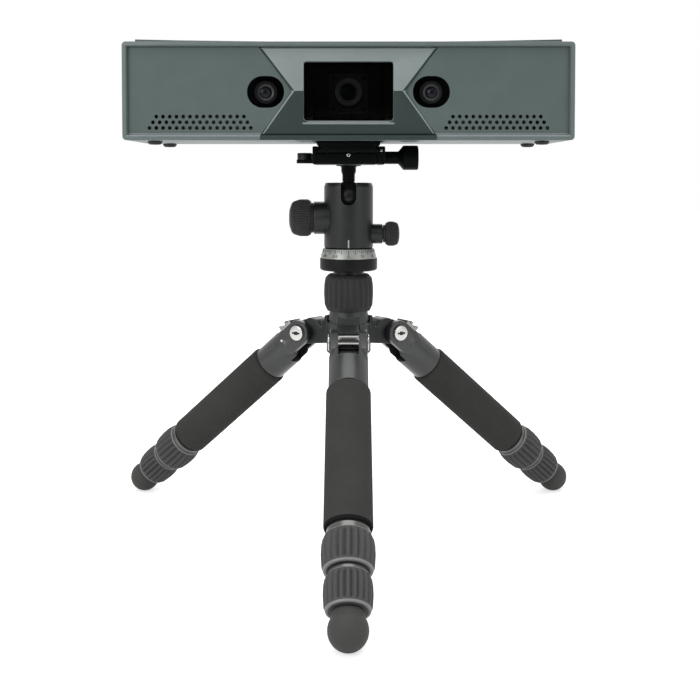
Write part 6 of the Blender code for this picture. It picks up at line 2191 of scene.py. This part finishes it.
@dataclass
class Leg:
    """One leg: fork casting, bolt, latch, foam grip, twist locks, tubes and foot.

    Its own frame has X along the hinge, -Y outwards and -Z down the leg. Lengths run down from the pivot.
    """

    frame: Frame
    side: str
    casting_radius: float = 11.8
    casting_end: float = 37.1
    ear_radius: float = 8.0
    ear_half: float = 11.3
    ear_run: float = 11.0
    ear_end: float = 23.0
    ear_end_half: float = 3.2
    fork_half: float = 6.5
    fork_depth: float = 18.5
    bolt_radius: float = 2.8
    bolt_head: float = 4.9
    bolt_head_height: float = 1.1
    latch_low: float = 8.4
    latch_high: float = 12.9
    latch_valley: float = 10.9
    latch_start: float = 2.6
    latch_end: float = 12.4
    latch_upper: float = 5.6
    latch_rib: float = 1.4
    upper_radius: float = 10.0
    middle_radius: float = 8.2
    tip_radius: float = 6.4
    wall: float = 1.2
    bore_top: float = 42.0
    grip_radius: float = 13.1
    grip_top: float = 37.4
    grip_bottom: float = 126.2
    grip_skirt: float = 1.9
    lock_1: tuple[float, float, float] = (127.2, 151.5, 14.15)
    lock_2: tuple[float, float, float] = (152.1, 172.5, 12.7)
    engagement: float = 12.0
    neck: float = 4.9
    lower_neck: float = 2.0
    bright_neck: float = 2.5
    lock_ribs: int = 22
    middle_top: float = 45.0
    tip_top: float = 60.0
    foot_reach: float = 181.8
    foot_radius: float = 10.2
    foot_neck: float = 8.5
    foot_wall: float = 12.0
    gap: float = 0.3

    def __post_init__(self) -> None:
        """Find the leg's own frame from its joints."""
        up = -self.frame.axis(self.side + "_middle_slide")
        inwards = -self.frame.axis(self.side + "_latch_pull")
        across = inwards.cross(up).normalized()
        turned = Matrix((across, inwards, up)).transposed().to_4x4()
        self.lean = math.acos(up.z)
        self.place = Matrix.Translation(self.frame.pivot(self.side + "_hip")) @ turned

    def build(self) -> None:
        """Make the leg's pieces."""
        self._casting()
        self._bolt()
        self._latch()
        self._grip()
        self._lock("lock_1", self.lock_1, self.upper_radius, self.middle_radius, self.neck)
        self._lock("lock_2", self.lock_2, self.middle_radius, self.tip_radius, self.lower_neck)
        self._tubes()
        self._foot()

    def _fit(self, blank: Blank, name: str, body: str, finish: Finish, replaces: Sequence[str] = ()) -> None:
        """Store a piece of this leg.

        Args:
            blank: Its shape in the leg's own frame.
            name: Its name without the side.
            body: Its body without the side.
            finish: Its finish.
            replaces: CAD nodes that it stands for, without the side.
        """
        nodes = [self.side + "_" + node for node in replaces]
        blank.fit(self.side + "_" + name, self.side + "_" + body, finish, nodes, matrix=self.place)

    def _casting(self) -> None:
        """The fork casting with the upper tube in it."""
        tube_end = -(self.lock_1[0] + self.engagement)
        bore = self.upper_radius - self.wall
        profile = [
            (0.0, -6.0), (8.6, -6.0, 0.8), (self.casting_radius, -12.5, 1.6),
            (self.casting_radius, -self.casting_end, 0.7), (self.upper_radius, -self.casting_end),
            (self.upper_radius, tube_end, 0.2), (bore, tube_end, 0.2), (bore, -self.bore_top),
            (0.0, -self.bore_top),
        ]
        head = Blank().turned(profile, 96)
        radius = self.ear_radius
        angles = [math.pi * i / 24 for i in range(25)]
        outline = [(radius * math.cos(a), radius * math.sin(a)) for a in angles] + [
            (-radius, -self.ear_run, 3.0), (-self.ear_end_half, -self.ear_end, 2.0),
            (self.ear_end_half, -self.ear_end, 2.0), (radius, -self.ear_run, 3.0),
        ]
        ears = Blank().plate(outline, -self.ear_half, self.ear_half, corner=6).soften(0.8, 3, limit=60.0)
        head.unite(ears.place(SIDEWAYS))
        top = self.ear_radius + 1.0
        fork = Blank().box(
            (2 * self.fork_half, 2 * self.casting_radius + 2.0, top + self.fork_depth),
            (0.0, 0.0, (top - self.fork_depth) / 2.0),
        )
        head.cut(fork)
        hole = Blank().rod(self.bolt_radius + self.gap, -BORE, BORE, 40)
        head.cut(hole.place(TO_RIGHT))
        self._fit(head, "fork_casting", "leg", LEG_CASTING, ["leg_head"])

    def _bolt(self) -> None:
        """The pivot bolt with a slotted head on both ends, and the small screw beside it."""
        face = self.ear_half + self.gap
        end = face + self.bolt_head_height
        half = [
            (0.0, end), (self.bolt_head * 0.6, end), (self.bolt_head, end - 0.15, 0.35),
            (self.bolt_head, face + 0.3), (self.bolt_head + 0.7, face + 0.3), (self.bolt_head + 0.7, face),
            (self.bolt_radius, face),
        ]
        profile = half + [(point[0], -point[1], *point[2:]) for point in reversed(half)]
        bolt = Blank().turned(profile, 48, 3)
        for way in (-1, 1):
            for size in ((5.8, 1.2, 1.2), (2.6, 2.3, 1.5)):
                slot = Blank().box(size, (0.0, 0.0, way * end))
                bolt.cut(slot.place(Matrix.Rotation(self.lean - QUARTER, 4, "Z")))
        # The slots' recesses and the thin washer ring are painted dark as shade.
        bolt.paint(BLACK_ANODISED_AND_SHADE, lambda at, out: self._bolt_shade(at, end))
        bolt.place(TO_RIGHT)
        self._fit(bolt, "pivot_screw", "leg", STEEL, ["pivot_bolt"])
        seat = aimed((self.ear_half + 0.2, -3.0, -12.8), (1, 0, 0))
        stud = Blank().turned([(0.0, 0.25), (0.9, 0.25, 0.15), (0.9, -0.6), (0.0, -0.6)], 20, 2)
        self._fit(stud.place(seat), "friction_screw", "leg", STEEL)

    def _bolt_shade(self, point: Vector, end: float) -> bool:
        """Whether a place on the bolt lies in its slot's recess or on the thin washer ring, both painted dark
        as shade.

        Args:
            point: The place, before the bolt is laid along the hinge.
            end: Height of its head.

        Returns:
            True where painted shade goes.
        """
        reach = math.hypot(point.x, point.y)
        recess = reach < self.bolt_head - 1.0 and end - 0.9 < abs(point.z) < end - 0.1
        return recess or reach > self.bolt_head + 0.02

    def _latch(self) -> None:
        """The angle latch: two bright bars, with painted shade in the valley between them and above the upper
        bar.
        """
        rib = self.latch_upper + self.latch_rib
        lower = self.latch_end - self.latch_rib
        outline = [
            (-self.latch_low, -self.latch_start), (-self.latch_valley - 0.6, -self.latch_start, 0.35),
            (-self.latch_valley - 0.6, -self.latch_upper + 0.5, 0.2),
            (-self.latch_high, -self.latch_upper, 0.3),
            (-self.latch_high, -rib, 0.3), (-self.latch_valley, -rib - 0.5, 0.2),
            (-self.latch_valley, -lower + 0.5, 0.2), (-self.latch_high, -lower, 0.3),
            (-self.latch_high, -self.latch_end, 0.35), (-self.latch_low, -self.latch_end),
        ]
        half = self.fork_half - self.gap
        latch = Blank().plate(outline, -half, half, corner=3).soften(0.2, 2, limit=60.0)
        latch.place(SIDEWAYS)
        deep = -self.latch_valley - 0.5
        # Painted shade in the valley and above the upper bar.
        latch.paint(BLACK_ANODISED_AND_SHADE, lambda at, out: at.y > deep or at.z > -self.latch_upper)
        self._fit(latch, "angle_latch", "latch", LATCH_STEEL, ["latch"])

    def _grip(self) -> None:
        """The foam grip, which reaches over the first lock's collar, with painted shade on its lower edge and
        inside its skirt, and the bright ring inside its end.
        """
        inner = self.upper_radius + self.gap
        end = self.grip_bottom + self.grip_skirt
        skirt = self.grip_radius - 1.15
        profile = [
            (inner, -self.grip_top), (self.grip_radius - 1.3, -self.grip_top, 0.5),
            (self.grip_radius, -self.grip_top - 1.6, 1.0), (self.grip_radius, -end + 1.8, 1.0),
            (self.grip_radius - 0.7, -end, 0.25), (skirt, -end, 0.1), (skirt, -self.grip_bottom),
            (inner, -self.grip_bottom),
        ]
        sleeve = Blank().turned(profile, 96, closed=True)
        mouth = 0.1 - self.grip_bottom
        # Painted shade on the grip's lower edge and inside its skirt.
        sleeve.paint(
            FOAM_SHADE, lambda at, out: at.z < 1.0 - end or at.z < mouth and at.xy.length < skirt + 0.1
        )
        self._fit(sleeve, "foam_sleeve", "leg", FOAM, ["grip"])
        low, high = self.upper_radius + 0.05, self.upper_radius + 1.6
        top, bottom = self.grip_bottom + 0.1, self.lock_1[0] - 0.15
        section = [(low, -top), (high, -top, 0.2), (high, -bottom, 0.2), (low, -bottom)]
        self._fit(Blank().turned(section, 72, 2, closed=True), "neck_ring", "leg", NECK_RING)

    def _lock(
        self, name: str, size: tuple[float, float, float], upper: float, lower: float, neck: float
    ) -> None:
        """A ribbed twist lock.

        Args:
            name: Its name.
            size: Its top, bottom and radius.
            upper: Radius of the tube above.
            lower: Radius of the tube below.
            neck: Height of the bright collar above its barrel.
        """
        top, bottom, radius = size
        tall = bottom - top
        wide = upper + self.gap
        slim = lower + self.gap
        step = tall - self.engagement - self.gap
        body = tall - neck
        collar = radius * 0.82
        profile = [
            (wide, tall), (collar, tall, 0.2), (collar, body), (radius * 0.86, body, 0.1),
            (radius * 0.89, body - 0.6, 0.1), (radius * 0.955, body * 0.86, 1.4),
            (radius * 0.99, body * 0.7, 3.0), (radius, body * 0.45, 3.0), (radius * 0.97, body * 0.16, 1.2),
            (radius * 0.915, 1.0, 0.3), (radius * 0.885, 0.0, 0.2), (radius * 0.80, 0.0), (slim, 0.0),
            (slim, step), (wide, step),
        ]
        lock = Blank().turned(profile, self.lock_ribs * 8, closed=True)
        lock.rows(1.5, body - 1.0, 14)
        lock.flute(self.lock_ribs, 1.45, 1.2, body - 0.9, wide + 0.9, 1.6)
        # Painted highlight: a pale rim on the barrel's lower edge and on its top.
        lock.paint(LOCK_RIM_HIGHLIGHT, lambda at, out: math.hypot(*at.xy) > radius * 0.78 and (
            at.z < 0.8 and out.z < -0.1 or body - 0.7 < at.z < body + 0.01 and out.z > 0.05
        ))
        lock.rows(body + 0.2, tall - 0.2, 6)
        lock.paint(NECK_RING, lambda at, out: at.z > body + 0.02 and math.hypot(*at.xy) > wide + 0.1)
        # Painted shade on the neck's upper part, under the foam.
        lock.paint(FOAM_SHADE, lambda at, out: at.z > body + self.bright_neck)
        lock.place(upright(0.0, 0.0, -bottom))
        self._fit(lock, name + "_collar", name, LOCK_RUBBER, [name])

    def _tubes(self) -> None:
        """The middle tube and the tip tube."""
        middle_end = self.lock_2[0] + self.engagement
        floor = self.foot_reach + self.foot_radius - self.foot_wall
        for name, body, radius, top, bottom in (
            ("middle_tube", "mid", self.middle_radius, self.middle_top, middle_end),
            ("tip_tube", "tip", self.tip_radius, self.tip_top, floor - self.gap),
        ):
            bore = radius - self.wall
            section = [(bore, -top, 0.2), (radius, -top, 0.2), (radius, -bottom, 0.2), (bore, -bottom, 0.2)]
            tube = Blank().turned(section, 72, 2, closed=True)
            self._fit(tube, name + "_drawn", body, GREY_ANODISED, [name])

    def _foot(self) -> None:
        """The rubber foot, flat where it stands."""
        floor = self.foot_reach + self.foot_radius - self.foot_wall
        socket = self.tip_radius + self.gap
        neck_top = self.lock_2[1] + 2 * self.gap
        join = math.acos(self.foot_neck / self.foot_radius)
        profile = [
            (0.0, -floor), (socket, -floor), (socket, -neck_top), (self.foot_neck, -neck_top, 0.7),
        ]
        for i in range(21):
            angle = join - (join + QUARTER) * i / 20.0
            down = self.foot_radius * math.sin(angle) - self.foot_reach
            profile.append((max(0.0, self.foot_radius * math.cos(angle)), down))
        foot = Blank().turned(profile, 80)
        foot.place(self.place)
        foot.level(0.0)
        foot.fit(self.side + "_rubber_foot", self.side + "_tip", FOOT_RUBBER, [self.side + "_foot"])


def main() -> None:
    """Dress the frame and light it."""
    logging.basicConfig(level=logging.INFO, format="%(name)s: %(message)s")
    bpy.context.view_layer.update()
    loaded = Frame(frame)
    for assembly in (ScannerBar, Optics, QuickClamp, BallHead, Column):
        assembly(loaded).build()
    for side in SIDES:
        Leg(loaded, side).build()
    Studio().build()


if __name__ == "__main__":
    main()
